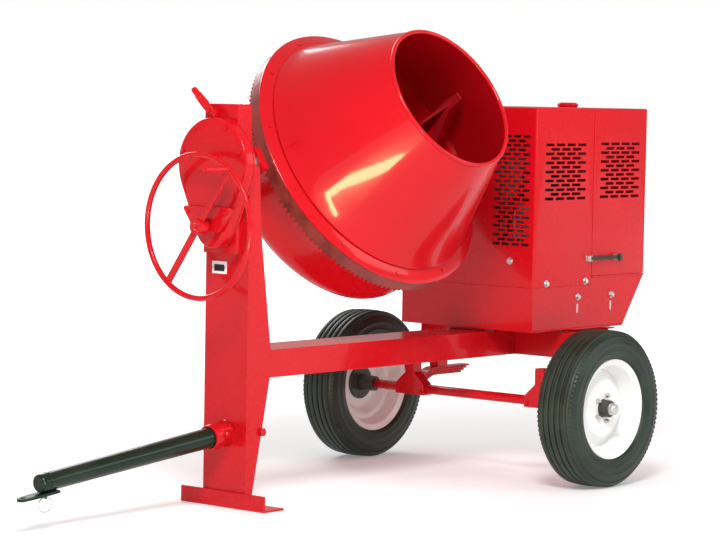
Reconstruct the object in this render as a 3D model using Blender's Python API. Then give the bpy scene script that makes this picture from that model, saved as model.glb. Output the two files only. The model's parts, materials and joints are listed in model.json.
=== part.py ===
"""Towable concrete mixer with a tilting drum, an engine cabinet and two road wheels.

Metres, +Z up. The origin is the middle of the front foot's sole, on the ground. +X runs from
the foot back to the engine, and the drum pours towards -Y. The drum turns about its own axis
in a yoke, and the yoke tilts on two trunnions that lie along X.
"""

import math

import bmesh
import bpy
from mathutils import Matrix, Vector

# ---------------------------------------------------------------- driving dimensions
GAP = 0.0004  # between pieces that touch
RUNNING_GAP = 0.0006  # between a shaft and what it turns in
SEAM = 0.0015  # open seam between the cabinet's panels
SHEET = 0.003
PLATE = 0.006
HEAVY_PLATE = 0.008

FOOT_LENGTH = 0.422
FOOT_DEPTH = 0.108
FOOT_HEIGHT = 0.0595

POST_WIDTH = 0.213
POST_FRONT = -FOOT_DEPTH / 2 + HEAVY_PLATE + 0.0025
POST_DEPTH_TOP = 0.0525
POST_DEPTH_MIDDLE = 0.070
POST_DEPTH_BEAM = 0.1225
POST_DEPTH_BOTTOM = 0.0275
POST_MIDDLE = 0.98  # height where the side plates change slope

BEAM_HEIGHT = 0.102
BEAM_TOP = 0.575
BEAM_REAR = 1.90

TILT_HEIGHT = 1.250
POST_TOP = TILT_HEIGHT - 0.003
DRUM_MIDDLE = 0.696  # x of the drum's axis
DRUM_PITCH = 30.87  # degrees the mouth points above level

HEAD_WIDTH = 0.162
HEAD_TOP = TILT_HEIGHT + 0.220
HEAD_BOTTOM = TILT_HEIGHT - 0.320
HEAD_FRONT = -0.083
HEAD_BACK = -0.010

BOWL_RADIUS = 0.475
BOWL_TOP = 0.058
BOWL_BOTTOM = -0.290
BOWL_KNUCKLE = 0.100
BOWL_WALL = 0.005
CONE_RADIUS = 0.487
CONE_TOP = 0.497
MOUTH_RADIUS = 0.286
LIP_RADIUS = 0.008
CONE_WALL = 0.004
GUARD_RADIUS = 0.541
GUARD_DROP = 0.023

RING_TEETH = 150
RING_INNER = 0.482
RING_OUTER = 0.537
RING_TOP = 0.030
RING_ROOT = -0.017
RING_TOOTH = 0.013
PINION_TEETH = 12

YOKE_ARM = 0.030  # thickness along the trunnions
YOKE_WIDTH = 0.090
YOKE_CLEARANCE = 0.054  # from the gear guard to an arm
YOKE_BAR = 0.036
YOKE_BELOW_BOWL = 0.075

WHEEL_SHAFT_RADIUS = 0.0125
TILT_MODULE = 0.0063
TILT_GEAR_TEETH = 50
TILT_PINION_TEETH = 20
HOUSING_RADIUS = 0.171
HOUSING_FOOT_RADIUS = 0.080
HOUSING_DEPTH = 0.048

HAND_WHEEL_RADIUS = 0.269
HAND_WHEEL_TUBE = 0.0105
HAND_WHEEL_FRONT = -0.197
WHEEL_BAR = 0.028
HANDLE_LENGTH = 0.127
SPOKE_ANGLE = 54.5

CAB_FRONT = 1.345
CAB_REAR = 2.096
CAB_WIDTH = 0.674
CAB_TOP = TILT_HEIGHT + 0.223
CAB_SEAM = 1.728
SKIRT_TOP = 0.762
DOOR_BOTTOM = 0.797
SKIRT_BOTTOM = 0.585
SKIRT_REAR_BOTTOM = 1.950

AXLE_X = 1.425
TYRE_RADIUS = 0.3075
TYRE_WIDTH = 0.172
BEAD_WIDTH = 0.012
TRACK = 1.217
RIM_RADIUS = 0.176  # where the tyre's bead sits
RIM_LIP_RADIUS = 0.196
AXLE_BAR = 0.038
SPINDLE_RADIUS = 0.0125
SPRING_Y = 0.335

TOW_PITCH = 6.2
TOW_HEIGHT = 0.274  # of the tow bar's axis over the foot's middle
TOW_FRONT = -0.955
TOW_RADIUS_REAR = 0.038
TOW_RADIUS_FRONT = 0.0325
SLEEVE_LENGTH = 0.085

# sides of a round piece, by its size
SMALL_ROUND = 12
ROUND = 20
WHEEL_ROUND = 32
DRUM_ROUND = 40

# ---------------------------------------------------------------- values that follow
POST_BACK_AT_BEAM = POST_FRONT + POST_DEPTH_BEAM
BEAM_BOTTOM = BEAM_TOP - BEAM_HEIGHT
BEAM_WIDTH = POST_WIDTH - 2 * PLATE - 2 * GAP
BEAM_FRONT = POST_FRONT + PLATE + GAP
PITCH = math.radians(DRUM_PITCH)
DRUM_AXIS = Vector((0, -math.cos(PITCH), math.sin(PITCH)))
DRUM_CENTRE = Vector((DRUM_MIDDLE, 0, TILT_HEIGHT))
CONE_BOTTOM = BOWL_TOP + GAP
RING_PITCH_RADIUS = (RING_INNER + RING_OUTER) / 2
TOOTH_PITCH = 2 * math.pi * RING_PITCH_RADIUS / RING_TEETH
RING_MODULE = TOOTH_PITCH / math.pi
PINION_RADIUS = RING_MODULE * PINION_TEETH / 2
RING_PITCH_LEVEL = RING_ROOT - RING_TOOTH / 2
PINION_OFFSET = RING_PITCH_LEVEL - PINION_RADIUS  # of its shaft along the drum's axis
YOKE_INNER = GUARD_RADIUS + YOKE_CLEARANCE
YOKE_OUTER = YOKE_INNER + YOKE_ARM
YOKE_BAR_TOP = BOWL_BOTTOM - YOKE_BELOW_BOWL
TILT_CENTRES = TILT_MODULE * (TILT_GEAR_TEETH + TILT_PINION_TEETH) / 2
HAND_WHEEL_HEIGHT = TILT_HEIGHT - TILT_CENTRES
HOUSING_FRONT = HEAD_FRONT - HOUSING_DEPTH
TOW_SLOPE = math.tan(math.radians(TOW_PITCH))
TOW_AXIS = Vector((-math.cos(math.radians(TOW_PITCH)), 0, -math.sin(math.radians(TOW_PITCH))))
REAR_ARM_FACE = DRUM_MIDDLE + YOKE_OUTER
FRONT_ARM_FACE = DRUM_MIDDLE - YOKE_OUTER
HALF_CAB = CAB_WIDTH / 2


# ---------------------------------------------------------------- materials
def material(name, colour, roughness=0.4, metallic=0.0):
    made = bpy.data.materials.new(name)
    made.use_nodes = True
    shader = made.node_tree.nodes["Principled BSDF"]
    shader.inputs["Base Color"].default_value = (*colour, 1)
    shader.inputs["Roughness"].default_value = roughness
    shader.inputs["Metallic"].default_value = metallic
    return made


RED = (0.74, 0.012, 0.022)
DARK_RED = (0.42, 0.010, 0.014)
BLACK_GREEN = (0.012, 0.022, 0.016)
STEEL = (0.55, 0.55, 0.54)
CAST = (0.16, 0.15, 0.15)
RUBBER = (0.018, 0.020, 0.019)
CREAM = (0.78, 0.76, 0.70)
BRONZE = (0.45, 0.28, 0.12)
ALUMINIUM = (0.62, 0.62, 0.60)
BLACK = (0.02, 0.02, 0.02)


# ---------------------------------------------------------------- modelling helpers
def clear_scene():
    for old in list(bpy.data.objects):
        bpy.data.objects.remove(old, do_unlink=True)


def add_object(name, mesh, colour, roughness=0.4, metallic=0.0):
    made = bpy.data.objects.new(name, mesh)
    bpy.context.scene.collection.objects.link(made)
    if colour is not None:
        mesh.materials.append(material(name + "_paint", colour, roughness, metallic))
    return made


def to_mesh(name, points, faces, smooth=None):
    mesh = bpy.data.meshes.new(name)
    mesh.from_pydata([tuple(p) for p in points], [], faces)
    work = bmesh.new()
    work.from_mesh(mesh)
    bmesh.ops.recalc_face_normals(work, faces=work.faces)
    work.to_mesh(mesh)
    work.free()
    if smooth is not None:
        mesh.shade_smooth()
        mesh.set_sharp_from_angle(angle=math.radians(smooth))
    mesh.update()
    return mesh


def frame_matrix(origin, axis, side=None):
    """Local +Z along axis, local +X as near to side as it can be."""
    along = Vector(axis).normalized()
    side = Vector(side) if side is not None else Vector((1, 0, 0))
    if abs(along.dot(side)) > 0.99:
        side = Vector((0, 1, 0))
    across = (side - along * along.dot(side)).normalized()
    turned = Matrix((across, along.cross(across), along)).transposed()
    return Matrix.Translation(origin) @ turned.to_4x4()


def box_mesh(name, low, high):
    (x0, y0, z0), (x1, y1, z1) = low, high
    points = [(x, y, z) for x in (x0, x1) for y in (y0, y1) for z in (z0, z1)]
    faces = [(0, 1, 3, 2), (4, 6, 7, 5), (0, 4, 5, 1), (2, 3, 7, 6), (0, 2, 6, 4), (1, 5, 7, 3)]
    return to_mesh(name, points, faces)


def box(name, low, high, colour, roughness=0.4, metallic=0.0):
    return add_object(name, box_mesh(name, low, high), colour, roughness, metallic)


def prism_mesh(name, outline, low, high, holes=()):
    """A flat outline in local XY, drawn out along local Z. Holes are outlines of the same kind."""
    work = bmesh.new()
    edges = []
    for ring in [outline, *holes]:
        verts = [work.verts.new((x, y, low)) for x, y in ring]
        edges += [work.edges.new((verts[i - 1], verts[i])) for i in range(len(verts))]
    bmesh.ops.triangle_fill(work, edges=edges, use_beauty=True)
    made = bmesh.ops.extrude_face_region(work, geom=work.faces[:])["geom"]
    raised = [v for v in made if isinstance(v, bmesh.types.BMVert)]
    bmesh.ops.translate(work, vec=(0, 0, high - low), verts=raised)
    bmesh.ops.recalc_face_normals(work, faces=work.faces)
    mesh = bpy.data.meshes.new(name)
    work.to_mesh(mesh)
    work.free()
    return mesh


def prism(name, outline, low, high, colour, matrix=None, holes=(), roughness=0.4, metallic=0.0):
    mesh = prism_mesh(name, outline, low, high, holes)
    made = add_object(name, mesh, colour, roughness, metallic)
    if matrix is not None:
        made.matrix_world = matrix
    return made


def turned_mesh(name, profile, segments, smooth=35):
    """A closed profile of (radius, height) points turned about local Z. A radius of 0 is on the axis."""
    points, rings = [], []
    for radius, height in profile:
        if radius < 1e-9:
            rings.append([len(points)] * segments)
            points.append((0, 0, height))
            continue
        rings.append(list(range(len(points), len(points) + segments)))
        for i in range(segments):
            turn = 2 * math.pi * i / segments
            points.append((radius * math.cos(turn), radius * math.sin(turn), height))
    faces = []
    closed = profile[0][0] > 1e-9 or profile[-1][0] > 1e-9
    pairs = zip(rings, rings[1:] + rings[:1] if closed else rings[1:])
    for lower, upper in pairs:
        for i in range(segments):
            j = (i + 1) % segments
            corners = [lower[i], lower[j], upper[j], upper[i]]
            kept = list(dict.fromkeys(corners))
            if len(kept) > 2:
                faces.append(kept)
    return to_mesh(name, points, faces, smooth)


def turned(name, profile, segments, colour, matrix, roughness=0.4, metallic=0.0):
    made = add_object(name, turned_mesh(name, profile, segments), colour, roughness, metallic)
    made.matrix_world = matrix
    return made


def tube_mesh(name, route, radius, sides=10, closed=False, smooth=40):
    """A round bar along a list of points, with flat ends unless it is closed."""
    route = [Vector(p) for p in route]
    count = len(route)
    points, rings = [], []
    side = None
    for i, here in enumerate(route):
        before = route[i - 1] if (i or closed) else here
        after = route[(i + 1) % count] if (i < count - 1 or closed) else here
        along = (after - before).normalized()
        if side is None:
            side = Vector((0, 0, 1)) if abs(along.z) < 0.9 else Vector((0, 1, 0))
        side = (side - along * along.dot(side)).normalized()
        across = along.cross(side)
        rings.append(list(range(len(points), len(points) + sides)))
        for k in range(sides):
            turn = 2 * math.pi * k / sides
            points.append(here + radius * (math.cos(turn) * side + math.sin(turn) * across))
    faces = []
    for a, b in zip(rings, rings[1:] + rings[:1] if closed else rings[1:]):
        faces += [(a[k], a[(k + 1) % sides], b[(k + 1) % sides], b[k]) for k in range(sides)]
    if not closed:
        faces += [tuple(rings[0]), tuple(rings[-1])]
    return to_mesh(name, points, faces, smooth)


def arc(centre, radius, start, end, steps):
    """Points on a circle, angles in degrees."""
    turns = [math.radians(start + (end - start) * i / steps) for i in range(steps + 1)]
    return [(centre[0] + radius * math.cos(t), centre[1] + radius * math.sin(t)) for t in turns]


def circle(centre, radius, steps):
    return arc(centre, radius, 0, 360 - 360 / steps, steps - 1)


def carry(parent, child):
    """Parents child where it is."""
    child.parent = parent
    child.matrix_parent_inverse = parent.matrix_world.inverted()


def pivot(name, place, axis, pieces, parent=None):
    """An empty on a joint's axis, local +Z along it, that carries the pieces the joint moves."""
    empty = bpy.data.objects.new(name, None)
    bpy.context.scene.collection.objects.link(empty)
    empty.matrix_world = frame_matrix(place, axis)
    if parent is not None:
        carry(parent, empty)
    for piece in pieces:
        carry(empty, bpy.data.objects[piece])
    return empty


def combine(body, other, operation):
    """Other is a cutter or an added shape, hidden in renders and carried by its body."""
    other.hide_render = True
    other.display_type = "WIRE"
    carry(body, other)
    step = body.modifiers.new(operation.lower(), "BOOLEAN")
    step.operation = operation
    step.solver = "EXACT"
    step.object = other
    return body


def cut(body, other):
    return combine(body, other, "DIFFERENCE")


def join(body, other):
    return combine(body, other, "UNION")


def cylinder(
    name, radius, low, high, matrix, colour=None, steps=SMALL_ROUND, roughness=0.4, metallic=0.0
):
    profile = [(0, low), (radius, low), (radius, high), (0, high)]
    return turned(name, profile, steps, colour, matrix, roughness, metallic)


def clear_radius(radius, steps):
    """The corner radius that keeps a faceted hole's flats this far from its axis."""
    return radius / math.cos(math.pi / steps)


def bore(name, radius, low, high, matrix, steps=SMALL_ROUND):
    """A cutter for a round hole."""
    return cylinder(name, clear_radius(radius, steps), low, high, matrix, steps=steps)


# local +X to +Y, +Y to +Z and +Z to +X
STOOD_UP = Matrix(((0, 0, 1, 0), (1, 0, 0, 0), (0, 1, 0, 0), (0, 0, 0, 1)))


def along_x(height, y=0.0, x=0.0):
    """Local +Z along world +X, local +X up."""
    return frame_matrix((x, y, height), (1, 0, 0), (0, 0, 1))


def drum_matrix(shift=0.0):
    """Local +Z along the drum's axis, local +X along the trunnions."""
    return frame_matrix(DRUM_CENTRE + shift * DRUM_AXIS, DRUM_AXIS, (1, 0, 0))


def gear_outline(teeth, module, tooth_share=0.44, phase=0.0, addendum=0.85, dedendum=1.1):
    """A spur gear with straight-sided teeth. With phase 0 a tooth points along local +X."""
    pitch = module * teeth / 2
    step = 2 * math.pi / teeth
    half = tooth_share * step / 2
    points = []
    for i in range(teeth):
        middle = phase + i * step
        for offset, radius in (
            (-half * 1.45, pitch - dedendum * module),
            (-half * 0.52, pitch + addendum * module),
            (half * 0.52, pitch + addendum * module),
            (half * 1.45, pitch - dedendum * module),
        ):
            turn = middle + offset
            points.append((radius * math.cos(turn), radius * math.sin(turn)))
    return points


# ---------------------------------------------------------------- foot, post, beam
def build_foot():
    half = FOOT_DEPTH / 2
    outline = [
        (-half, 0),
        (half, 0),
        (half, HEAVY_PLATE),
        (-half + HEAVY_PLATE, HEAVY_PLATE),
        (-half + HEAVY_PLATE, FOOT_HEIGHT),
        (-half, FOOT_HEIGHT),
    ]
    across = frame_matrix((0, 0, 0), (0, -1, 0), (1, 0, 0))
    prism("foot_channel", outline, -FOOT_LENGTH / 2, FOOT_LENGTH / 2, RED, across)


def post_side_outline():
    """Side plate of the post, as (x, z)."""
    base = HEAVY_PLATE + GAP
    return [
        (POST_FRONT, base),
        (POST_FRONT + POST_DEPTH_BOTTOM, base),
        (POST_FRONT + POST_DEPTH_BEAM * 0.83, BEAM_BOTTOM - BEAM_HEIGHT),
        (POST_BACK_AT_BEAM, BEAM_BOTTOM),
        (POST_BACK_AT_BEAM + 0.003, BEAM_TOP),
        (POST_FRONT + POST_DEPTH_MIDDLE, POST_MIDDLE),
        (POST_FRONT + POST_DEPTH_TOP, POST_TOP),
        (POST_FRONT, POST_TOP),
    ]


def build_post():
    """A channel open at the back, whose side plates are deepest where the beam enters."""
    half = POST_WIDTH / 2
    across = frame_matrix((0, 0, 0), (0, -1, 0), (1, 0, 0))
    post = prism("front_post", post_side_outline(), -half, half, RED, across)
    inner_low = (POST_FRONT + PLATE, -half + PLATE, -0.01)
    hollow = box("post_hollow", inner_low, (0.3, half - PLATE, POST_TOP - PLATE), None)
    cut(post, hollow)
    tow_hole = bore("post_tow_hole", TOW_RADIUS_REAR + 0.010, -0.06, 0.06, tow_matrix(POST_FRONT))
    cut(post, tow_hole)
    for side in (-1, 1):
        pin_hole = bore(
            f"post_pin_hole_{side}", TOW_PIN_RADIUS + GAP, -0.02, 0.02,
            frame_matrix((TOW_PIN_X, side * half, tow_height(TOW_PIN_X)), (0, 1, 0)),
        )
        cut(post, pin_hole)


def build_beam():
    half = BEAM_WIDTH / 2
    outer = [(-half, BEAM_BOTTOM), (half, BEAM_BOTTOM), (half, BEAM_TOP), (-half, BEAM_TOP)]
    inset = PLATE
    inner = [
        (-half + inset, BEAM_BOTTOM + inset),
        (half - inset, BEAM_BOTTOM + inset),
        (half - inset, BEAM_TOP - inset),
        (-half + inset, BEAM_TOP - inset),
    ]
    facing = frame_matrix((0, 0, 0), (1, 0, 0), (0, 1, 0))
    prism("main_beam", outer, BEAM_FRONT, BEAM_REAR, RED, facing, holes=[inner])


OUTRIGGER_X = (1.546, 1.626)
OUTRIGGER_REACH = 0.400


def build_cross_members():
    low_x, high_x = OUTRIGGER_X
    for name, side in (("outrigger_near", -1), ("outrigger_far", 1)):
        ends = sorted((side * (BEAM_WIDTH / 2 + GAP), side * OUTRIGGER_REACH))
        arm = box(name, (low_x, ends[0], BEAM_BOTTOM), (high_x, ends[1], BEAM_TOP), RED)
        hollow = box(
            name + "_hollow",
            (low_x + PLATE, ends[0] - 0.01, BEAM_BOTTOM + PLATE),
            (high_x + 0.01, ends[1] + 0.01, BEAM_TOP - PLATE),
            None,
        )
        cut(arm, hollow)
    half = 0.30
    rear = box(
        "rear_cross_member",
        (BEAM_REAR + GAP, -half, BEAM_BOTTOM),
        (BEAM_REAR + GAP + 0.050, half, BEAM_TOP),
        RED,
    )
    hollow = box(
        "rear_cross_hollow",
        (BEAM_REAR + GAP + PLATE, -half - 0.01, BEAM_BOTTOM + PLATE),
        (BEAM_REAR + 0.08, half + 0.01, BEAM_TOP - PLATE),
        None,
    )
    cut(rear, hollow)


# ---------------------------------------------------------------- tow bar
TOW_PIN_X = 0.037
TOW_PIN_RADIUS = 0.009
TONGUE_REACH = 0.150
SAFETY_RING_RADIUS = 0.026
SAFETY_WIRE = 0.0021
RING_DROP = 0.008


def tow_height(x):
    return TOW_HEIGHT + x * TOW_SLOPE


def tow_matrix(x):
    """Local +Z forwards along the tow bar, from its axis at this x."""
    return frame_matrix((x, 0, tow_height(x)), TOW_AXIS, (0, 1, 0))


def build_tow_bar():
    rear_x = TOW_PIN_X + 0.030
    length = (rear_x - TOW_FRONT) / math.cos(math.radians(TOW_PITCH))
    wall = 0.005
    matrix = tow_matrix(rear_x)
    outer, front = TOW_RADIUS_REAR, TOW_RADIUS_FRONT
    profile = [
        (outer - wall, 0),
        (outer, 0),
        (front, length - 0.012),
        (front - 0.012, length),
        (0, length),
        (0, length - wall),
        (front - wall, length - 0.014),
    ]
    bar = turned("tow_bar", profile, 24, BLACK_GREEN, matrix, 0.35)
    along = (rear_x - TOW_PIN_X) / math.cos(math.radians(TOW_PITCH))
    pin_place = matrix @ Matrix.Translation((0, 0, along))
    hole = bore(
        "tow_pin_hole", TOW_PIN_RADIUS + GAP, -0.06, 0.06,
        frame_matrix(pin_place.translation, (0, 1, 0)),
    )
    cut(bar, hole)

    sleeve_inner = TOW_RADIUS_REAR + 0.002
    sleeve_outer = sleeve_inner + 0.0065
    profile = [(sleeve_inner, -0.012), (sleeve_outer, -0.012)]
    profile += [(sleeve_outer, SLEEVE_LENGTH), (sleeve_inner, SLEEVE_LENGTH)]
    sleeve = turned("tow_socket", profile, 24, RED, tow_matrix(POST_FRONT))
    bolt = cylinder(
        "tow_set_bolt", 0.008, sleeve_inner - 0.0005, sleeve_inner + 0.018,
        frame_matrix(tow_matrix(POST_FRONT - 0.040).translation, (0, -1, 0.15)), steps=6,
    )
    join(sleeve, bolt)

    half = POST_WIDTH / 2
    pin = cylinder(
        "tow_pin", TOW_PIN_RADIUS, -half - 0.012, half + 0.012,
        frame_matrix((TOW_PIN_X, 0, tow_height(TOW_PIN_X)), (0, 1, 0)), STEEL, 16, 0.3, 1.0,
    )
    head = cylinder("tow_pin_head", 0.016, -half - 0.012, -half - GAP,
                    frame_matrix((TOW_PIN_X, 0, tow_height(TOW_PIN_X)), (0, 1, 0)), steps=6)
    join(pin, head)


def tongue_matrix():
    """Local +X forwards along the tow bar, local +Z up from its lower edge."""
    start = tow_matrix(TOW_FRONT + 0.055).translation
    up = Vector((TOW_SLOPE, 0, -1)).normalized() * -1
    return frame_matrix(start - up * (TOW_RADIUS_FRONT + GAP + 0.010), up, TOW_AXIS)


def ring_top():
    """Where the safety ring hangs in its lug under the tongue."""
    return tongue_matrix() @ Vector((0.028, 0, -RING_DROP))


def build_tongue():
    """A flat drawbar tongue under the tow bar's front end, with a pin hole near its tip."""
    width = 0.052
    reach = TONGUE_REACH
    outline = [(-0.02, -width / 2), (reach * 0.55, -width / 2)]
    outline += arc((reach - 0.021, 0), 0.021, -62, 62, 8)
    outline += [(reach * 0.55, width / 2), (-0.02, width / 2)]
    hole = circle((reach - 0.022, 0), clear_radius(0.0105, ROUND), ROUND)
    tongue = prism("tow_tongue", outline, 0, 0.010, BLACK_GREEN, tongue_matrix(), holes=[hole])
    eye = SAFETY_WIRE + 0.0014
    low = -RING_DROP - eye - 0.0025
    lug_outline = [(-0.0065, low), (0.0065, low), (0.0065, 0.002), (-0.0065, 0.002)]
    lug_place = tongue_matrix() @ Matrix.Translation((0.028, 0, 0)) @ STOOD_UP
    lug = prism("ring_lug", lug_outline, -0.0015, 0.0015, None, lug_place,
                holes=[circle((0, -RING_DROP), clear_radius(eye, SMALL_ROUND), SMALL_ROUND)])
    join(tongue, lug)

    centre = ring_top() - Vector((0, 0, SAFETY_RING_RADIUS))
    route = [
        centre + SAFETY_RING_RADIUS * Vector((1.18 * math.sin(t), 0, math.cos(t)))
        for t in (2 * math.pi * i / 20 for i in range(20))
    ]
    ring = tube_mesh("safety_ring", route, SAFETY_WIRE, 8, closed=True)
    add_object("safety_ring", ring, STEEL, 0.3, 1.0)


# ---------------------------------------------------------------- running gear
def build_axle():
    """A round bar with a spindle at each end for the hubs."""
    spindle = SPINDLE_RADIUS
    inner = HUB_INNER
    end = TRACK / 2 + 0.045
    profile = [(0, -end), (spindle, -end), (spindle, -inner), (AXLE_BAR / 2, -inner + 0.001)]
    profile += [(AXLE_BAR / 2, inner - 0.001), (spindle, inner), (spindle, end), (0, end)]
    turned("axle_bar", profile, 20, RED, frame_matrix((AXLE_X, 0, TYRE_RADIUS), (0, 1, 0)))


SPRING_LEAVES = 4
LEAF = 0.0085
SPRING_WIDTH = 0.045
SPRING_LOW = 0.345
SPRING_HIGH = 0.388
SEAT_HALF = 0.025
SPRING_FRONT = AXLE_X + SEAT_HALF + GAP
SPRING_REAR = 1.765
SPRING_STEP = 0.018  # each leaf under the longest ends this much sooner
HUB_INNER = TRACK / 2 - 0.075


def spring_top(x):
    """Height of the leaf pack's top: low at the axle seat, level under the outrigger."""
    share = min(1.0, max(0.0, (x - SPRING_FRONT) / (OUTRIGGER_X[0] - SPRING_FRONT)))
    return SPRING_LOW + (SPRING_HIGH - SPRING_LOW) * math.sin(share * math.pi / 2)


def build_springs():
    """Leaf packs clamped under the outriggers, with an axle seat at their front ends."""
    steps = 6
    low_x, high_x = OUTRIGGER_X
    bent = [SPRING_FRONT + (low_x - SPRING_FRONT) * i / steps for i in range(steps + 1)]
    for name, side in (("near", -1), ("far", 1)):
        y = side * SPRING_Y
        half = SPRING_WIDTH / 2
        outline = [(x, spring_top(x)) for x in bent]
        outline.append((SPRING_REAR, SPRING_HIGH))
        for leaf in range(1, SPRING_LEAVES + 1):
            under = SPRING_HIGH - LEAF * leaf
            outline.append((SPRING_REAR - SPRING_STEP * (leaf - 1), under))
            if leaf < SPRING_LEAVES:
                outline.append((SPRING_REAR - SPRING_STEP * leaf, under))
        outline += [(x, spring_top(x) - LEAF * SPRING_LEAVES) for x in reversed(bent)]
        facing = frame_matrix((0, y, 0), (0, -1, 0), (1, 0, 0))
        prism("leaf_spring_" + name, outline, -half, half, RED, facing, roughness=0.5)
        block = box(
            "spring_block_" + name,
            (low_x + 0.008, y - half, SPRING_HIGH + GAP),
            (high_x - 0.008, y + half, BEAM_BOTTOM + PLATE / 2),
            None,
        )
        join(bpy.data.objects["outrigger_" + name], block)


def build_axle_seats():
    """A gusseted post on the axle in front of each spring, with a cradle round the bar."""
    top, neck = 0.440, 0.375
    half, foot = 0.022, 0.075
    base = TYRE_RADIUS - AXLE_BAR / 2 - 0.006
    shoulder = TYRE_RADIUS + AXLE_BAR / 2
    for name, side in (("near", -1), ("far", 1)):
        outline = [(-foot, base), (foot, base), (foot, shoulder), (half, neck), (half, top)]
        outline += [(-half, top), (-half, neck), (-foot, shoulder)]
        facing = frame_matrix((AXLE_X, side * SPRING_Y, 0), (1, 0, 0), (0, 1, 0))
        seat = prism("axle_seat_" + name, outline, -SEAT_HALF, SEAT_HALF, RED, facing)
        hole = bore("seat_bore_" + name, AXLE_BAR / 2 + GAP, -0.08, 0.08,
                    frame_matrix((AXLE_X, side * SPRING_Y, TYRE_RADIUS), (0, 1, 0)))
        cut(seat, hole)


def build_wheel(name, side):
    """Hub, rim and tyre of one road wheel. side is -1 for the near wheel, 1 for the far one."""
    centre = Vector((AXLE_X, side * TRACK / 2, TYRE_RADIUS))
    matrix = frame_matrix(centre, (0, side, 0), (1, 0, 0))
    inner = SPINDLE_RADIUS + RUNNING_GAP
    hub = [
        (inner, -0.070), (0.030, -0.070), (0.033, -0.030), (0.033, 0.012), (0.070, 0.012), (0.070, 0.020),
        (0.033, 0.020), (0.033, 0.060), (0.024, 0.060), (0.024, 0.082), (0.016, 0.088), (0, 0.088),
        (0, 0.080), (inner, 0.080),
    ]
    turned("hub_" + name, hub, ROUND, CAST, matrix, 0.5, 0.8)
    half = TYRE_WIDTH / 2
    seat, lip, wall = RIM_RADIUS, RIM_LIP_RADIUS, 0.004
    side_out = half - 0.016
    disc = 0.0205
    rim = [
        (0.036, disc), (0.104, disc), (0.134, -0.012), (seat - 0.024, -0.012),
        (seat - wall, -side_out + 0.010), (lip - wall, -side_out + 0.002), (lip, -side_out),
        (lip, -side_out + 0.006), (seat, -side_out + 0.012),
        (seat - 0.018, 0), (seat, side_out - 0.012), (lip, side_out - 0.006), (lip, side_out),
        (lip - wall, side_out - 0.002), (seat - wall, side_out - 0.014), (seat - 0.024, -0.007),
        (0.137, -0.007), (0.106, disc + wall), (0.036, disc + wall),
    ]
    turned("rim_" + name, rim, WHEEL_ROUND, CREAM, matrix, 0.35)
    bead = side_out - 0.013
    outer = TYRE_RADIUS
    tread = half * 0.66
    tyre = [
        (seat + GAP, -bead), (lip + GAP, -bead), (lip + 0.012, -half * 0.93), (outer - 0.050, -half),
        (outer - 0.016, -half * 0.90), (outer, -tread), (outer, tread), (outer - 0.016, half * 0.90),
        (outer - 0.050, half), (lip + 0.012, half * 0.93), (lip + GAP, bead), (seat + GAP, bead),
        (seat + GAP, bead - BEAD_WIDTH), (outer - 0.055, half * 0.84), (outer - 0.018, half * 0.60),
        (outer - 0.018, -half * 0.60), (outer - 0.055, -half * 0.84), (seat + GAP, BEAD_WIDTH - bead),
    ]
    turned("tyre_" + name, tyre, WHEEL_ROUND, RUBBER, matrix, 0.7)


# ---------------------------------------------------------------- drum
def build_drum():
    matrix = drum_matrix()
    wall = BOWL_WALL
    knuckle = arc((BOWL_RADIUS - BOWL_KNUCKLE, BOWL_BOTTOM + BOWL_KNUCKLE), BOWL_KNUCKLE, 0, -90, 4)
    inner_knuckle = arc(
        (BOWL_RADIUS - BOWL_KNUCKLE, BOWL_BOTTOM + BOWL_KNUCKLE), BOWL_KNUCKLE - wall, -90, 0, 4
    )
    bowl = [(0, BOWL_BOTTOM + wall)] + inner_knuckle + [(BOWL_RADIUS - wall, BOWL_TOP)]
    bowl += [(BOWL_RADIUS, BOWL_TOP)] + knuckle + [(0, BOWL_BOTTOM)]
    turned("drum_bowl", bowl, DRUM_ROUND, DARK_RED, matrix, 0.3)

    base = CONE_RADIUS
    seat = BOWL_RADIUS - BOWL_WALL
    lip = arc((MOUTH_RADIUS, CONE_TOP), LIP_RADIUS, -60, 230, 6)
    cone = [(seat, CONE_BOTTOM), (base + 0.004, CONE_BOTTOM), (base + 0.004, CONE_BOTTOM + 0.005)]
    cone += [(base, CONE_BOTTOM + 0.008)] + lip
    cone += [(base - CONE_WALL - 0.002, CONE_BOTTOM + 0.010), (seat, CONE_BOTTOM + 0.006)]
    turned("drum_cone", cone, DRUM_ROUND, RED, matrix, 0.25)

    inner = BOWL_RADIUS + 0.005
    top = CONE_BOTTOM - 0.0005
    guard = [
        (inner, top - 0.006), (GUARD_RADIUS - 0.004, top - GUARD_DROP - 0.001),
        (GUARD_RADIUS, top - GUARD_DROP), (GUARD_RADIUS, top - GUARD_DROP + 0.005), (inner, top),
    ]
    turned("gear_guard", guard, DRUM_ROUND, RED, matrix, 0.25)


RING_GROUP = 3  # teeth that share one flat facet of the ring's plain side


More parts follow.
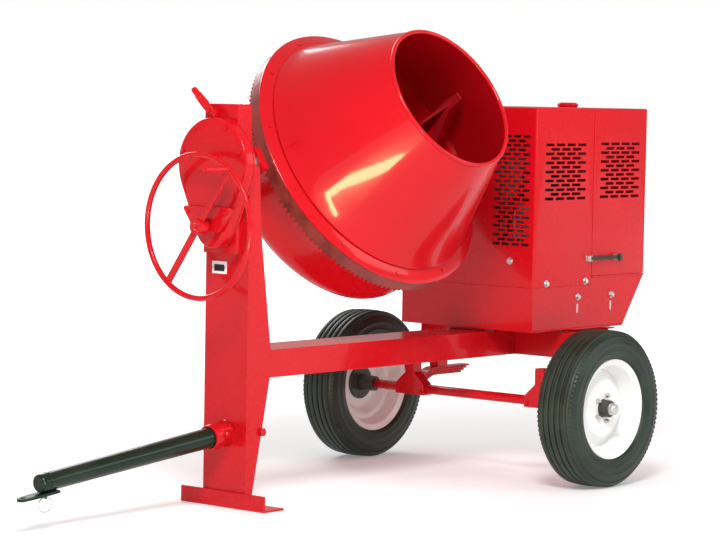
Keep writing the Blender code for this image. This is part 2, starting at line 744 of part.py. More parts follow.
def build_ring_gear():
    """A crown gear whose teeth face the yoke. A gap between teeth points along the trunnion."""
    step = 2 * math.pi / RING_TEETH
    tip = RING_ROOT - RING_TOOTH
    root_half, tip_half = 0.30 * step, 0.13 * step
    tooth = [(-root_half, RING_ROOT), (-tip_half, tip), (tip_half, tip), (root_half, RING_ROOT)]
    points = []

    def ring_of_points(radius):
        """Indices of the toothed edge, group by group, and of the plain edge's corners."""
        edge, corners = [], []
        for i in range(RING_TEETH):
            if i % RING_GROUP == 0:
                turn = i * step
                corners.append(len(points))
                points.append((radius * math.cos(turn), radius * math.sin(turn), RING_TOP))
            for offset, level in tooth:
                turn = (i + 0.5) * step + offset
                edge.append(len(points))
                points.append((radius * math.cos(turn), radius * math.sin(turn), level))
        return edge, corners

    inner, inner_top = ring_of_points(RING_INNER)
    outer, outer_top = ring_of_points(RING_OUTER)
    count = len(inner)
    faces = [
        (inner[k], inner[(k + 1) % count], outer[(k + 1) % count], outer[k]) for k in range(count)
    ]
    groups = RING_TEETH // RING_GROUP
    per = RING_GROUP * len(tooth)
    for g in range(groups):
        after = (g + 1) % groups
        faces.append((inner_top[g], inner_top[after], outer_top[after], outer_top[g]))
        for edge, top in ((inner, inner_top), (outer, outer_top)):
            run = [edge[(g * per + k) % count] for k in range(per + 1)]
            faces.append((top[after], top[g], *run))
    gear = add_object("ring_gear", to_mesh("ring_gear", points, faces), CAST, 0.5, 0.6)
    gear.matrix_world = drum_matrix()


PADDLE_TURN = 20  # degrees round the drum's axis, from +X
PADDLE_HALF = 0.006
FORK_INSET = 0.150  # from the bowl's wall
FORK = [  # across the drum, and up its axis
    (-0.016, 0.325), (0.016, 0.325), (0.018, 0.235), (-0.018, 0.066), (-0.047, 0.072),
    (-0.030, 0.168), (-0.079, 0.076), (-0.106, 0.090), (-0.022, 0.250),
]


def build_paddles():
    """Two mixing arms inside the drum: a leg on the bowl, a bar across, and a fork under the mouth."""
    for index, turn in (("a", PADDLE_TURN), ("b", PADDLE_TURN + 180)):
        matrix = drum_matrix() @ Matrix.Rotation(math.radians(turn), 4, "Z")
        low, high = BOWL_BOTTOM + BOWL_KNUCKLE + 0.010, 0.250
        wall = (BOWL_RADIUS - BOWL_WALL) * math.cos(math.pi / DRUM_ROUND) - 0.001
        share = (high - CONE_BOTTOM) / (CONE_TOP - CONE_BOTTOM)
        cone_radius = wall + (MOUTH_RADIUS - BOWL_RADIUS) * share
        outline = [
            (wall, low), (wall, low + 0.05), (wall - 0.115, low + 0.12), (wall - 0.150, high - 0.10),
            (cone_radius - 0.060, high - 0.045), (cone_radius - 0.020, high - 0.075),
            (cone_radius - 0.012, high - 0.030), (cone_radius - 0.060, high + 0.005),
            (wall - 0.190, high - 0.060), (wall - 0.215, high - 0.11), (wall - 0.160, low + 0.10),
            (wall - 0.050, low),
        ]
        facing = matrix @ Matrix.Rotation(math.radians(90), 4, "X")
        arm = prism("mixing_paddle_" + index, outline, -PADDLE_HALF, PADDLE_HALF, DARK_RED, facing)
        reach = BOWL_RADIUS - FORK_INSET
        fork = prism("fork_" + index, FORK, reach, reach + 2 * PADDLE_HALF, None, matrix @ STOOD_UP)
        join(arm, fork)


def build_drum_pivot():
    """The hub under the bowl and the spindle on the yoke that carries it."""
    matrix = drum_matrix()
    spindle_radius = 0.025
    inner = spindle_radius + RUNNING_GAP
    low, high = BOWL_BOTTOM - 0.055, BOWL_BOTTOM - GAP
    hub = [(inner, low), (0.060, low), (0.066, high - 0.012), (0.110, high - 0.008), (0.110, high)]
    hub += [(0, high), (0, high - 0.010), (inner, high - 0.010)]
    turned("drum_hub", hub, ROUND, CAST, matrix, 0.5, 0.6)
    spindle = [(0, YOKE_BAR_TOP + GAP), (0.048, YOKE_BAR_TOP + GAP), (0.048, YOKE_BAR_TOP + 0.012)]
    spindle += [(spindle_radius, YOKE_BAR_TOP + 0.014), (spindle_radius, high - 0.012), (0, high - 0.012)]
    turned("drum_spindle", spindle, ROUND, STEEL, matrix, 0.3, 1.0)


# ---------------------------------------------------------------- yoke and drive
TRUNNION_RADIUS = 0.030
REAR_TRUNNION_RADIUS = 0.040
DRIVE_SHAFT_RADIUS = 0.020
COUNTER_RADIUS = 0.014
BUSH_WALL = 0.008


def build_yoke():
    top = 0.050
    bottom = YOKE_BAR_TOP - YOKE_BAR
    outline = [
        (-YOKE_OUTER, top), (-YOKE_OUTER, bottom + 0.06), (-YOKE_OUTER + 0.06, bottom),
        (YOKE_OUTER - 0.06, bottom), (YOKE_OUTER, bottom + 0.06), (YOKE_OUTER, top),
        (YOKE_INNER, top), (YOKE_INNER, YOKE_BAR_TOP + 0.05), (YOKE_INNER - 0.05, YOKE_BAR_TOP),
        (-YOKE_INNER + 0.05, YOKE_BAR_TOP), (-YOKE_INNER, YOKE_BAR_TOP + 0.05), (-YOKE_INNER, top),
    ]
    facing = drum_matrix() @ Matrix.Rotation(math.radians(90), 4, "X")
    yoke = prism("yoke", outline, -YOKE_WIDTH / 2, YOKE_WIDTH / 2, RED, facing)
    drive_bore = bore(
        "yoke_drive_bore", DRIVE_SHAFT_RADIUS + RUNNING_GAP, -0.03, YOKE_ARM + 0.03,
        along_x(TILT_HEIGHT, x=DRUM_MIDDLE + YOKE_INNER),
    )
    cut(yoke, drive_bore)
    offset = DRUM_CENTRE + PINION_OFFSET * DRUM_AXIS
    pinion_bore = bore(
        "yoke_pinion_bore", COUNTER_RADIUS + RUNNING_GAP, -0.03, YOKE_ARM + 0.03,
        along_x(offset.z, offset.y, DRUM_MIDDLE + YOKE_INNER),
    )
    cut(yoke, pinion_bore)


def build_trunnions():
    facing = along_x(TILT_HEIGHT)
    end = HOUSING_FRONT + SHEET + 0.006
    arm = FRONT_ARM_FACE - GAP
    flange = 0.042
    profile = [
        (0, end), (TRUNNION_RADIUS, end), (TRUNNION_RADIUS, arm - 0.012), (flange, arm - 0.012),
        (flange, arm), (0, arm),
    ]
    turned("front_trunnion", profile, ROUND, STEEL, facing, 0.35, 1.0)
    bush_inner = TRUNNION_RADIUS + RUNNING_GAP
    profile = [(bush_inner, HEAD_FRONT), (bush_inner + BUSH_WALL, HEAD_FRONT)]
    profile += [(bush_inner + BUSH_WALL, HEAD_BACK), (bush_inner, HEAD_BACK)]
    turned("front_bush", profile, ROUND, BRONZE, facing, 0.35, 1.0)

    start, stop = REAR_ARM_FACE + GAP, CAB_FRONT + 0.075
    inner = DRIVE_SHAFT_RADIUS + RUNNING_GAP
    profile = [
        (inner, start), (0.043, start), (0.043, start + 0.010), (REAR_TRUNNION_RADIUS, start + 0.012),
        (REAR_TRUNNION_RADIUS, stop), (inner, stop),
    ]
    turned("rear_trunnion", profile, ROUND, STEEL, facing, 0.35, 1.0)


def build_rear_bearing():
    """A plate pedestal on the beam, inside the cabinet, with a round bearing eye."""
    x0 = CAB_FRONT + 0.012
    x1 = x0 + 0.016
    eye = 0.070
    outline = [(-0.095, BEAM_TOP + GAP), (0.095, BEAM_TOP + GAP)]
    outline += arc((0, TILT_HEIGHT), eye, 0, 180, 12)
    hole = circle((0, TILT_HEIGHT), clear_radius(REAR_TRUNNION_RADIUS + RUNNING_GAP, ROUND), ROUND)
    facing = frame_matrix((0, 0, 0), (1, 0, 0), (0, 1, 0))
    prism("rear_bearing", outline, x0, x1, DARK_RED, facing, holes=[hole])


def build_head():
    """The narrow box on the post's top and front, which carries the front trunnion."""
    half = HEAD_WIDTH / 2
    head = box("head_box", (HEAD_FRONT, -half, HEAD_BOTTOM), (HEAD_BACK, half, HEAD_TOP), RED)
    step = box(
        "head_notch", (POST_FRONT - GAP, -half - 0.01, HEAD_BOTTOM - 0.01),
        (HEAD_BACK + 0.01, half + 0.01, POST_TOP + GAP), None,
    )
    cut(head, step)
    boss = 0.045
    spans = ((HEAD_BOTTOM + SHEET, TILT_HEIGHT - boss), (TILT_HEIGHT + boss, HEAD_TOP - SHEET))
    for low_z, high_z in spans:
        corner = (HEAD_FRONT + SHEET, -half + SHEET, low_z)
        cut(head, box("head_hollow", corner, (HEAD_BACK + 0.01, half - SHEET, high_z), None))
    bore_radius = TRUNNION_RADIUS + RUNNING_GAP + BUSH_WALL + GAP
    on_trunnion = along_x(TILT_HEIGHT)
    low, high = HEAD_FRONT - 0.02, HEAD_BACK + 0.02
    cut(head, bore("head_bore", bore_radius, low, high, on_trunnion, ROUND))
    post_bore = bore("post_bore", bore_radius, low, high, on_trunnion, ROUND)
    cut(bpy.data.objects["front_post"], post_bore)
    shaft_bore = bore("wheel_shaft_bore", 0.0135, -0.2, 0.2, along_x(HAND_WHEEL_HEIGHT))
    cut(head, shaft_bore)


def build_drive():
    facing = along_x(TILT_HEIGHT)
    input_teeth, counter_teeth = DRIVE_GEARS
    shaft_end = PULLEY_X + 0.045
    mesh_x = DRUM_MIDDLE + YOKE_INNER - 0.026
    width = 0.018
    # local +X of along_x() is up, and local +Y points to world -Y
    axis_turn = math.atan2(-DRUM_AXIS.y, DRUM_AXIS.z)
    centre_gap = -PINION_OFFSET
    small_module = 2 * centre_gap / (input_teeth + counter_teeth)
    shaft = cylinder(
        "drive_shaft", DRIVE_SHAFT_RADIUS, mesh_x + width - 0.001, shaft_end, facing, STEEL, 24, 0.35, 1.0
    )
    gear = prism(
        "drive_shaft_gear", gear_outline(input_teeth, small_module, phase=axis_turn + math.pi),
        mesh_x, mesh_x + width, None, facing,
    )
    join(shaft, gear)

    place = DRUM_CENTRE + PINION_OFFSET * DRUM_AXIS
    counter_facing = along_x(place.z, place.y)
    low = DRUM_MIDDLE + RING_INNER - 0.003
    counter = cylinder(
        "pinion_shaft", COUNTER_RADIUS, low + 0.001, DRUM_MIDDLE + YOKE_OUTER - 0.004, counter_facing,
        STEEL, 20, 0.35, 1.0,
    )
    pinion = prism(
        "pinion_teeth",
        gear_outline(PINION_TEETH, RING_MODULE, 0.40, phase=axis_turn, addendum=0.8),
        low, DRUM_MIDDLE + RING_OUTER + 0.002, None, counter_facing,
    )
    phase = axis_turn + math.pi / counter_teeth
    driven = prism(
        "counter_gear", gear_outline(counter_teeth, small_module, phase=phase),
        mesh_x, mesh_x + width, None, counter_facing,
    )
    join(counter, pinion)
    join(counter, driven)


DRIVE_GEARS = (16, 22)
PULLEY_X = 1.475
PULLEY_RADIUS = 0.185
ENGINE_PULLEY_RADIUS = 0.045
ENGINE_PULLEY_HEIGHT = 0.860
ENGINE_SHAFT_Y = 0.0


def pulley_profile(radius, inner, low, high, hub):
    """A one-groove pulley with a web and a hub."""
    middle = (low + high) / 2
    return [
        (inner, low - 0.004), (hub, low - 0.004), (hub, middle - 0.004), (radius - 0.022, middle - 0.004),
        (radius - 0.022, low), (radius, low), (radius - 0.013, middle - 0.003),
        (radius - 0.013, middle + 0.003), (radius, high), (radius - 0.022, high),
        (radius - 0.022, middle + 0.004), (hub, middle + 0.004), (hub, high + 0.004), (inner, high + 0.004),
    ]


def build_pulleys():
    half = 0.011
    low, high = PULLEY_X - half, PULLEY_X + half
    large = pulley_profile(PULLEY_RADIUS, DRIVE_SHAFT_RADIUS + GAP, low, high, 0.040)
    turned("drum_pulley", large, WHEEL_ROUND, CAST, along_x(TILT_HEIGHT), 0.5, 0.6)
    inner = ENGINE_SHAFT_RADIUS + GAP
    small = [
        (inner, low - 0.004), (ENGINE_PULLEY_RADIUS, low), (ENGINE_PULLEY_RADIUS - 0.013, PULLEY_X - 0.003),
        (ENGINE_PULLEY_RADIUS - 0.013, PULLEY_X + 0.003), (ENGINE_PULLEY_RADIUS, high), (inner, high + 0.004),
    ]
    turned("engine_pulley", small, ROUND, CAST, along_x(ENGINE_PULLEY_HEIGHT, ENGINE_SHAFT_Y), 0.5, 0.6)

    big, little = PULLEY_RADIUS, ENGINE_PULLEY_RADIUS
    drop = TILT_HEIGHT - ENGINE_PULLEY_HEIGHT
    lean = math.degrees(math.asin((big - little) / drop))

    def belt_outline(offset):
        """The belt's loop in (y, z), this far outside the pulleys' rims."""
        over = arc((0, TILT_HEIGHT), big + offset, -lean, 180 + lean, 20)
        under = arc((0, ENGINE_PULLEY_HEIGHT), little + offset, 180 + lean, 360 - lean, 10)
        return over + under

    facing = frame_matrix((0, 0, 0), (1, 0, 0), (0, 1, 0))
    hole = [belt_outline(0.001)]
    low, high = PULLEY_X - 0.006, PULLEY_X + 0.006
    prism("v_belt", belt_outline(0.009), low, high, BLACK, facing, hole, roughness=0.7)


# ---------------------------------------------------------------- tilt gear and hand wheel
def housing_outline(extra=0.0):
    """Big circle over the tilt gear, tangents, small circle round the hand wheel's pinion."""
    big, small = HOUSING_RADIUS + extra, HOUSING_FOOT_RADIUS + extra
    lean = math.degrees(math.asin((big - small) / TILT_CENTRES))
    over = arc((0, TILT_HEIGHT), big, -lean, 180 + lean, 28)
    under = arc((0, HAND_WHEEL_HEIGHT), small, 180 + lean, 360 - lean, 10)
    return over + under


def build_tilt_drive():
    facing = frame_matrix((0, 0, 0), (1, 0, 0), (0, 1, 0))
    back = HEAD_FRONT - GAP
    housing = prism("gear_housing", housing_outline(), HOUSING_FRONT, back, RED, facing, roughness=0.25)
    hollow = prism(
        "housing_hollow", housing_outline(-SHEET), HOUSING_FRONT + SHEET, back + 0.01, None, facing
    )
    cut(housing, hollow)
    slot = box("housing_slot", (HOUSING_FRONT + 0.012, -0.014, TILT_HEIGHT + 0.14),
               (back - 0.006, 0.030, TILT_HEIGHT + 0.19), None)
    cut(housing, slot)
    cut(housing, bore("housing_shaft_bore", 0.014, -0.25, 0.1, along_x(HAND_WHEEL_HEIGHT)))

    top, bottom = TILT_HEIGHT - 0.150, HAND_WHEEL_HEIGHT - 0.020
    outline = [(-0.060, bottom), (0.060, bottom), (0.118, top - 0.010), (0.112, top)]
    outline += [(-0.112, top), (-0.118, top - 0.010)]
    low, high = HOUSING_FRONT - 0.024, HOUSING_FRONT - GAP
    cover = prism("pinion_cover", outline, low, high, RED, facing, roughness=0.25)
    cut(cover, bore("cover_bore", 0.014, -0.25, 0.1, along_x(HAND_WHEEL_HEIGHT)))

    gear_low, gear_high = HOUSING_FRONT + SHEET + 0.008, back - 0.010
    share = 0.44
    gap_up = math.pi / 2 + math.pi / TILT_GEAR_TEETH
    gear = gear_outline(TILT_GEAR_TEETH, TILT_MODULE, share, phase=gap_up)
    hole = circle((0, 0), clear_radius(TRUNNION_RADIUS + GAP, ROUND), ROUND)
    matrix = frame_matrix((0, 0, TILT_HEIGHT), (1, 0, 0), (0, 1, 0))
    prism("tilt_gear", gear, gear_low, gear_high, CAST, matrix, [hole], 0.5, 0.6)

    shaft_matrix = frame_matrix((0, 0, HAND_WHEEL_HEIGHT), (1, 0, 0), (0, 1, 0))
    hub_face = HAND_WHEEL_FRONT - 0.016
    shaft_back = HEAD_BACK - 0.036
    shaft = cylinder(
        "wheel_shaft", WHEEL_SHAFT_RADIUS, hub_face, shaft_back, shaft_matrix, STEEL, 20, 0.35, 1.0
    )
    # Half the gear's tooth count is odd, so with a gap on top it has a tooth, not a gap, at the bottom.
    phase = math.pi / 2
    pinion = prism(
        "tilt_pinion_teeth", gear_outline(TILT_PINION_TEETH, TILT_MODULE, share, phase=phase),
        gear_low, gear_high, None, shaft_matrix,
    )
    join(shaft, pinion)


def build_hand_wheel():
    """Rim, one flat bar right across it, hub and crank handle."""
    centre = Vector((HAND_WHEEL_FRONT, 0, HAND_WHEEL_HEIGHT))
    rim_radius = HAND_WHEEL_RADIUS - HAND_WHEEL_TUBE
    steps = WHEEL_ROUND
    route = [
        centre + rim_radius * Vector((0, math.cos(t), math.sin(t)))
        for t in (2 * math.pi * i / steps for i in range(steps))
    ]
    rim = tube_mesh("hand_wheel", route, HAND_WHEEL_TUBE, 8, closed=True)
    wheel = add_object("hand_wheel", rim, RED, 0.25)
    turn = math.radians(SPOKE_ANGLE)
    out = Vector((0, -math.cos(turn), math.sin(turn)))
    bar_matrix = frame_matrix(centre, (1, 0, 0), out)
    half = WHEEL_BAR / 2
    flat = [(-rim_radius, -half), (rim_radius, -half), (rim_radius, half), (-rim_radius, half)]
    join(wheel, prism("wheel_bar", flat, -0.004, 0.004, None, bar_matrix))
    hub_matrix = frame_matrix(centre, (1, 0, 0), (0, 1, 0))
    join(wheel, cylinder("wheel_hub", 0.028, -0.016, 0.032, hub_matrix, steps=24))
    handle_place = frame_matrix(centre + rim_radius * out, (-1, 0, 0), (0, 1, 0))
    join(wheel, cylinder("wheel_handle", 0.0105, -0.002, HANDLE_LENGTH, handle_place))
    cut(wheel, bore("wheel_bore", WHEEL_SHAFT_RADIUS + GAP, -0.03, 0.05, hub_matrix))


LATCH_PIVOT = Vector((HOUSING_FRONT + 0.024, 0.030, TILT_HEIGHT + HOUSING_RADIUS + 0.024))


def build_latch():
    """A bracket on the housing's top and the bent lever whose pawl drops between the gear's teeth."""
    x0, x1 = HOUSING_FRONT + 0.010, HOUSING_FRONT + 0.038
    px, py, pz = LATCH_PIVOT
    base = TILT_HEIGHT + HOUSING_RADIUS + 0.002
    facing = frame_matrix((0, 0, 0), (1, 0, 0), (0, 1, 0))
    outline = [(py - 0.018, base), (py + 0.018, base), (py + 0.010, pz + 0.012), (py - 0.010, pz + 0.012)]
    ear = prism("latch_bracket", outline, HEAD_FRONT - 0.016, HEAD_FRONT - GAP, RED, facing)
    on_pivot = frame_matrix((0, py, pz), (1, 0, 0))
    join(ear, cylinder("latch_pivot_pin", 0.006, px - 0.016, HEAD_FRONT - 0.012, on_pivot))

    pawl_tip = TILT_HEIGHT + HOUSING_RADIUS - 0.004
    outline = [
        (py - 0.028, pawl_tip), (py - 0.020, pawl_tip), (py - 0.014, pz - 0.012), (py + 0.008, pz - 0.012),
        (py + 0.030, pz + 0.014), (py + 0.072, pz + 0.052), (py + 0.060, pz + 0.066),
        (py + 0.018, pz + 0.030), (py - 0.010, pz + 0.013), (py - 0.030, pz - 0.004),
    ]
    lever = prism("latch_lever", outline, x0 + 0.004, x1 - 0.012, RED, facing, roughness=0.25)
    grip_place = frame_matrix(((x0 + x1) / 2 - 0.004, py + 0.066, pz + 0.059), (0, 0.72, 0.69))
    join(lever, cylinder("latch_grip", 0.012, -0.030, 0.030, grip_place))
    cut(lever, bore("latch_bore", 0.006 + RUNNING_GAP, -0.2, 0.0, on_pivot))


# ---------------------------------------------------------------- cabinet
def shell(name, outer_low, outer_high, inner_low, inner_high, colour=RED):
    made = box(name, outer_low, outer_high, colour, 0.25)
    return cut(made, box(name + "_inside", inner_low, inner_high, None))


def tray_outline(inset, rise):
    """The base tray's side view, drawn in by inset, its open top raised by rise."""
    front_top = SKIRT_TOP - GAP + rise
    rear_top = DOOR_BOTTOM - SEAM + rise
    return [
        (CAB_FRONT + inset, SKIRT_BOTTOM + inset), (SKIRT_REAR_BOTTOM - inset, SKIRT_BOTTOM + inset),
        (CAB_REAR - inset, rear_top), (CAB_SEAM + SEAM, rear_top), (CAB_SEAM + SEAM, front_top),
        (CAB_FRONT + inset, front_top),
    ]


def build_cabinet():
    half = HALF_CAB
    hood = shell(
        "hood_front",
        (CAB_FRONT, -half, SKIRT_TOP), (CAB_SEAM, half, CAB_TOP),
        (CAB_FRONT + SHEET, -half + SHEET, SKIRT_TOP - 0.01),
        (CAB_SEAM + 0.01, half - SHEET, CAB_TOP - SHEET),
    )
    around_drive = along_x(TILT_HEIGHT)
    cut(hood, bore("hood_drive_hole", 0.052, CAB_FRONT - 0.02, CAB_FRONT + 0.02, around_drive, ROUND))
    shell(
        "hood_door",
        (CAB_SEAM + SEAM, -half, DOOR_BOTTOM), (CAB_REAR, half, CAB_TOP),
        (CAB_SEAM - 0.01, -half + SHEET, DOOR_BOTTOM - 0.01),
        (CAB_REAR - SHEET, half - SHEET, CAB_TOP - SHEET),
    )
    across = frame_matrix((0, 0, 0), (0, -1, 0), (1, 0, 0))
    tray = prism("base_tray", tray_outline(0.0, 0.0), -half, half, RED, across, roughness=0.25)
    inside = half - SHEET
    hollow = prism("tray_hollow", tray_outline(SHEET, 0.02), -inside, inside, None, across)
    cut(tray, hollow)
    width = 0.100
    floor_slot = box("tray_floor_slot", (CAB_FRONT + 0.008, -width, SKIRT_BOTTOM - 0.01),
                     (CAB_FRONT + 0.034, width, SKIRT_BOTTOM + 0.02), None)
    cut(tray, floor_slot)


LATCH_HEIGHT = 0.868
DRAW_LATCH_LENGTH = 0.042  # of its base, in front of the cabinet's seam
STRAP_REACH = 0.175  # behind the seam
KEEPER_PROUD = 0.012
STRAP_GAP = 0.0005


def build_cabinet_fittings():
    """A strap latch on each side: its base turns on the front bay, and its end hooks on the door."""
    z = LATCH_HEIGHT
    strap_low = KEEPER_PROUD + STRAP_GAP
    for name, side in (("near", -1), ("far", 1)):

        def slab(piece, low_x, high_x, low_out, high_out, half_z, colour=None):
            """A box on the cabinet's side. Low_out and high_out are measured out from the wall."""
            low_y, high_y = sorted((side * (HALF_CAB + low_out), side * (HALF_CAB + high_out)))
            low = (CAB_SEAM + low_x, low_y, z - half_z)
            high = (CAB_SEAM + high_x, high_y, z + half_z)
            return box(f"{piece}_{name}", low, high, colour, 0.25, 1.0)

        base = slab("draw_latch", -DRAW_LATCH_LENGTH, -0.004, GAP, strap_low + 0.003, 0.012, STEEL)
        join(base, slab("latch_strap", -0.020, STRAP_REACH, strap_low, strap_low + 0.006, 0.008))
        join(base, slab("latch_grip", STRAP_REACH - 0.014, STRAP_REACH + 0.003, strap_low, 0.030, 0.015))
        keeper = slab("latch_keeper", STRAP_REACH - 0.034, STRAP_REACH - 0.004, -0.001, KEEPER_PROUD, 0.010)
        join(bpy.data.objects["hood_door"], keeper)
    place = frame_matrix((1.795, -0.150, 0), (0, 0, 1))
    profile = [(0, CAB_TOP + GAP), (0.040, CAB_TOP + GAP), (0.043, CAB_TOP + 0.012), (0.036, CAB_TOP + 0.020)]
    turned("hood_cap", profile + [(0, CAB_TOP + 0.020)], 24, RED, place, 0.3)


# ---------------------------------------------------------------- engine
ENGINE_SHAFT_RADIUS = 0.0125


def build_engine():
    floor = SKIRT_BOTTOM + SHEET + GAP
    y = ENGINE_SHAFT_Y
    low_z, top_z = ENGINE_PULLEY_HEIGHT - 0.105, ENGINE_PULLEY_HEIGHT + 0.085
    box("engine_stand", (1.52, y - 0.16, floor), (1.745, y + 0.16, low_z - GAP), DARK_RED)
    block = box("engine_block", (1.535, y - 0.125, low_z), (1.745, y + 0.125, top_z), ALUMINIUM, 0.5, 0.8)
    on_shaft = along_x(ENGINE_PULLEY_HEIGHT, y)
    join(block, cylinder("engine_shaft", ENGINE_SHAFT_RADIUS, PULLEY_X - 0.020, 1.60, on_shaft))
    cowl_low, cowl_high = 1.7454, 1.825
    on_cowl = along_x(ENGINE_PULLEY_HEIGHT + 0.010, y)
    cylinder("engine_cowl", 0.118, cowl_low, cowl_high, on_cowl, BLACK, 32, 0.5)
    low, high = (1.56, y - 0.070, top_z - 0.01), (1.70, y + 0.050, top_z + 0.140)
    join(block, box("engine_cylinder", low, high, None))
    tank_low = top_z + 0.150
    box("fuel_tank", (1.56, y - 0.110, tank_low), (1.84, y + 0.110, tank_low + 0.110), BLACK, 0.3)
    box("muffler", (1.57, y + 0.0554, top_z + 0.012), (1.73, y + 0.125, top_z + 0.110), STEEL, 0.5, 0.9)


def build_label():
    x = POST_FRONT - GAP
    box("label_plate", (x - 0.0015, 0.000, 0.852), (x, 0.074, 0.898), STEEL, 0.4, 0.2)


# ---------------------------------------------------------------- joints
def build_pivots():
    """Empties on the joints' axes. Each carries the pieces that turn together."""
    along, across, up = Vector((1, 0, 0)), Vector((0, 1, 0)), Vector((0, 0, 1))
    tilt = pivot(
        "tilt_axis", DRUM_CENTRE, along,
        ["yoke", "front_trunnion", "rear_trunnion", "tilt_gear", "drum_spindle"],
    )
    drum = ["drum_bowl", "drum_cone", "gear_guard", "ring_gear", "drum_hub"]
    drum += ["mixing_paddle_a", "mixing_paddle_b"]
    pivot("drum_axis", DRUM_CENTRE, DRUM_AXIS, drum, tilt)
    pinion_place = DRUM_CENTRE + PINION_OFFSET * DRUM_AXIS
    pivot("pinion_axis", pinion_place, along, ["pinion_shaft"], tilt)
    pivot("drive_axis", DRUM_CENTRE, along, ["drive_shaft", "drum_pulley"], tilt)
    engine_place = Vector((PULLEY_X, ENGINE_SHAFT_Y, ENGINE_PULLEY_HEIGHT))
    pivot("engine_axis", engine_place, along, ["engine_pulley"])
    wheel_place = Vector((HAND_WHEEL_FRONT, 0, HAND_WHEEL_HEIGHT))
    pivot("hand_wheel_axis", wheel_place, along, ["hand_wheel", "wheel_shaft"])
    pivot("latch_axis", LATCH_PIVOT, along, ["latch_lever"])
    pivot("safety_ring_axis", ring_top(), across, ["safety_ring"])
    axle_place = Vector((AXLE_X, 0, TYRE_RADIUS))
    axle = pivot("axle_travel", axle_place, up, ["axle_bar", "axle_seat_near", "axle_seat_far"])
    for name, side in (("near", -1), ("far", 1)):
        hub_place = axle_place + side * across * TRACK / 2
        pieces = [piece + name for piece in ("hub_", "rim_", "tyre_")]
        pivot("wheel_axis_" + name, hub_place, across, pieces, axle)
        latch_place = Vector((CAB_SEAM - DRAW_LATCH_LENGTH, side * (HALF_CAB + GAP), LATCH_HEIGHT))
        pivot("draw_latch_axis_" + name, latch_place, side * up, ["draw_latch_" + name])
    hinge_place = Vector((CAB_SEAM + SEAM, 0, CAB_TOP))
    pivot("hood_hinge", hinge_place, -across, ["hood_door", "hood_cap"])


# ---------------------------------------------------------------- the whole mixer
def main():
    clear_scene()
    build_foot()
    build_post()
    build_beam()
    build_cross_members()
    build_tow_bar()
    build_tongue()
    build_axle()
    build_springs()
    build_axle_seats()
    build_wheel("near", -1)
    build_wheel("far", 1)
    build_drum()
    build_ring_gear()
    build_paddles()
    build_drum_pivot()
    build_head()
    build_yoke()
    build_trunnions()
    build_rear_bearing()
    build_drive()
    build_pulleys()
    build_tilt_drive()
    build_hand_wheel()
    build_latch()
    build_cabinet()
    build_cabinet_fittings()
    build_engine()
    build_label()
    build_pivots()
    bpy.context.view_layer.update()


main()
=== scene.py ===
# %% [markdown]
# # A towable concrete mixer
#
# This mixer is a geared steel drum that hangs in a cradle between a front post and an engine
# cabinet. A hand wheel tilts the drum, a crown gear turns it, and the whole machine rolls on two
# road wheels behind a tow bar. The imported CAD model gives every size and place. This lesson
# builds the visible surface round it: paint, rubber, teeth, louvres, bolts and welds.
#
# The cell below loads the model, with a helper that reads the box of any of its parts.

# %% Load the imported model
import json
import math

import bmesh
import bpy
from mathutils import Matrix, Vector


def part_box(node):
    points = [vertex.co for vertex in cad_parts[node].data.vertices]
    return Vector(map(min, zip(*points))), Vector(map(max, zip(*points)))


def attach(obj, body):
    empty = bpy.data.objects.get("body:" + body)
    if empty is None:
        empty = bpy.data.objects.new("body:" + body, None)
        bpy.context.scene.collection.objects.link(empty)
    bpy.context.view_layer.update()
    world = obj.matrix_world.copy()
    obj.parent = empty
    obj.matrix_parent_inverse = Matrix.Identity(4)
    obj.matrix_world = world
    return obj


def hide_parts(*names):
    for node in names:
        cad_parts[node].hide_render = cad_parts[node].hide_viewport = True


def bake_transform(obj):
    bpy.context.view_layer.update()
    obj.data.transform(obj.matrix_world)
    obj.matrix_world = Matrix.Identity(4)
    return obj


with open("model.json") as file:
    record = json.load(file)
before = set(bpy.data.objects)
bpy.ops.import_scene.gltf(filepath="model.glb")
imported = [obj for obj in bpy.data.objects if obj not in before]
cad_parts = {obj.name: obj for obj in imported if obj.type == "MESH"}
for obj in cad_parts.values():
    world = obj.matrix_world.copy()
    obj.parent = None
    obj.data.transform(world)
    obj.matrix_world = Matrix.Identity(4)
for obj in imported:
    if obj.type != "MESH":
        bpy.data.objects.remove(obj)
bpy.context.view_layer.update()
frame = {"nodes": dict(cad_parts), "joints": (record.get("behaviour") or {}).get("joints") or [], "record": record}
joints = {joint["name"]: joint for joint in frame["joints"]}
body_of_node = {
    node: body for body, nodes in frame["record"]["behaviour"]["bodies"].items() for node in nodes
}

# %% [markdown]
# ## Places that everything else uses
#
# The drum turns about a sloping axis and tilts about a level one. Both come from the joints, so a
# changed model moves the looks with it. A matrix whose local Z is an axis makes turned parts
# easy: each is drawn about its own Z and then carried into place.

# %% Axes and places
X, Y, Z = Vector((1, 0, 0)), Vector((0, 1, 0)), Vector((0, 0, 1))


def facing(origin, axis, side=X):
    """Local +Z along axis, local +X as near to side as it can be."""
    along = Vector(axis).normalized()
    side = Vector(side)
    if abs(along.dot(side.normalized())) > 0.99:
        side = Y
    across = (side - along * along.dot(side)).normalized()
    turned = Matrix((across, along.cross(across), along)).transposed()
    return Matrix.Translation(origin) @ turned.to_4x4()


drum_centre = Vector(joints["drum_spin"]["pos_m"])
drum_axis = Vector(joints["drum_spin"]["axis"]).normalized()
drum_place = facing(drum_centre, drum_axis)
wheel_centre = Vector(joints["hand_wheel_turn"]["pos_m"])
print("drum axis", [round(v, 3) for v in drum_axis])

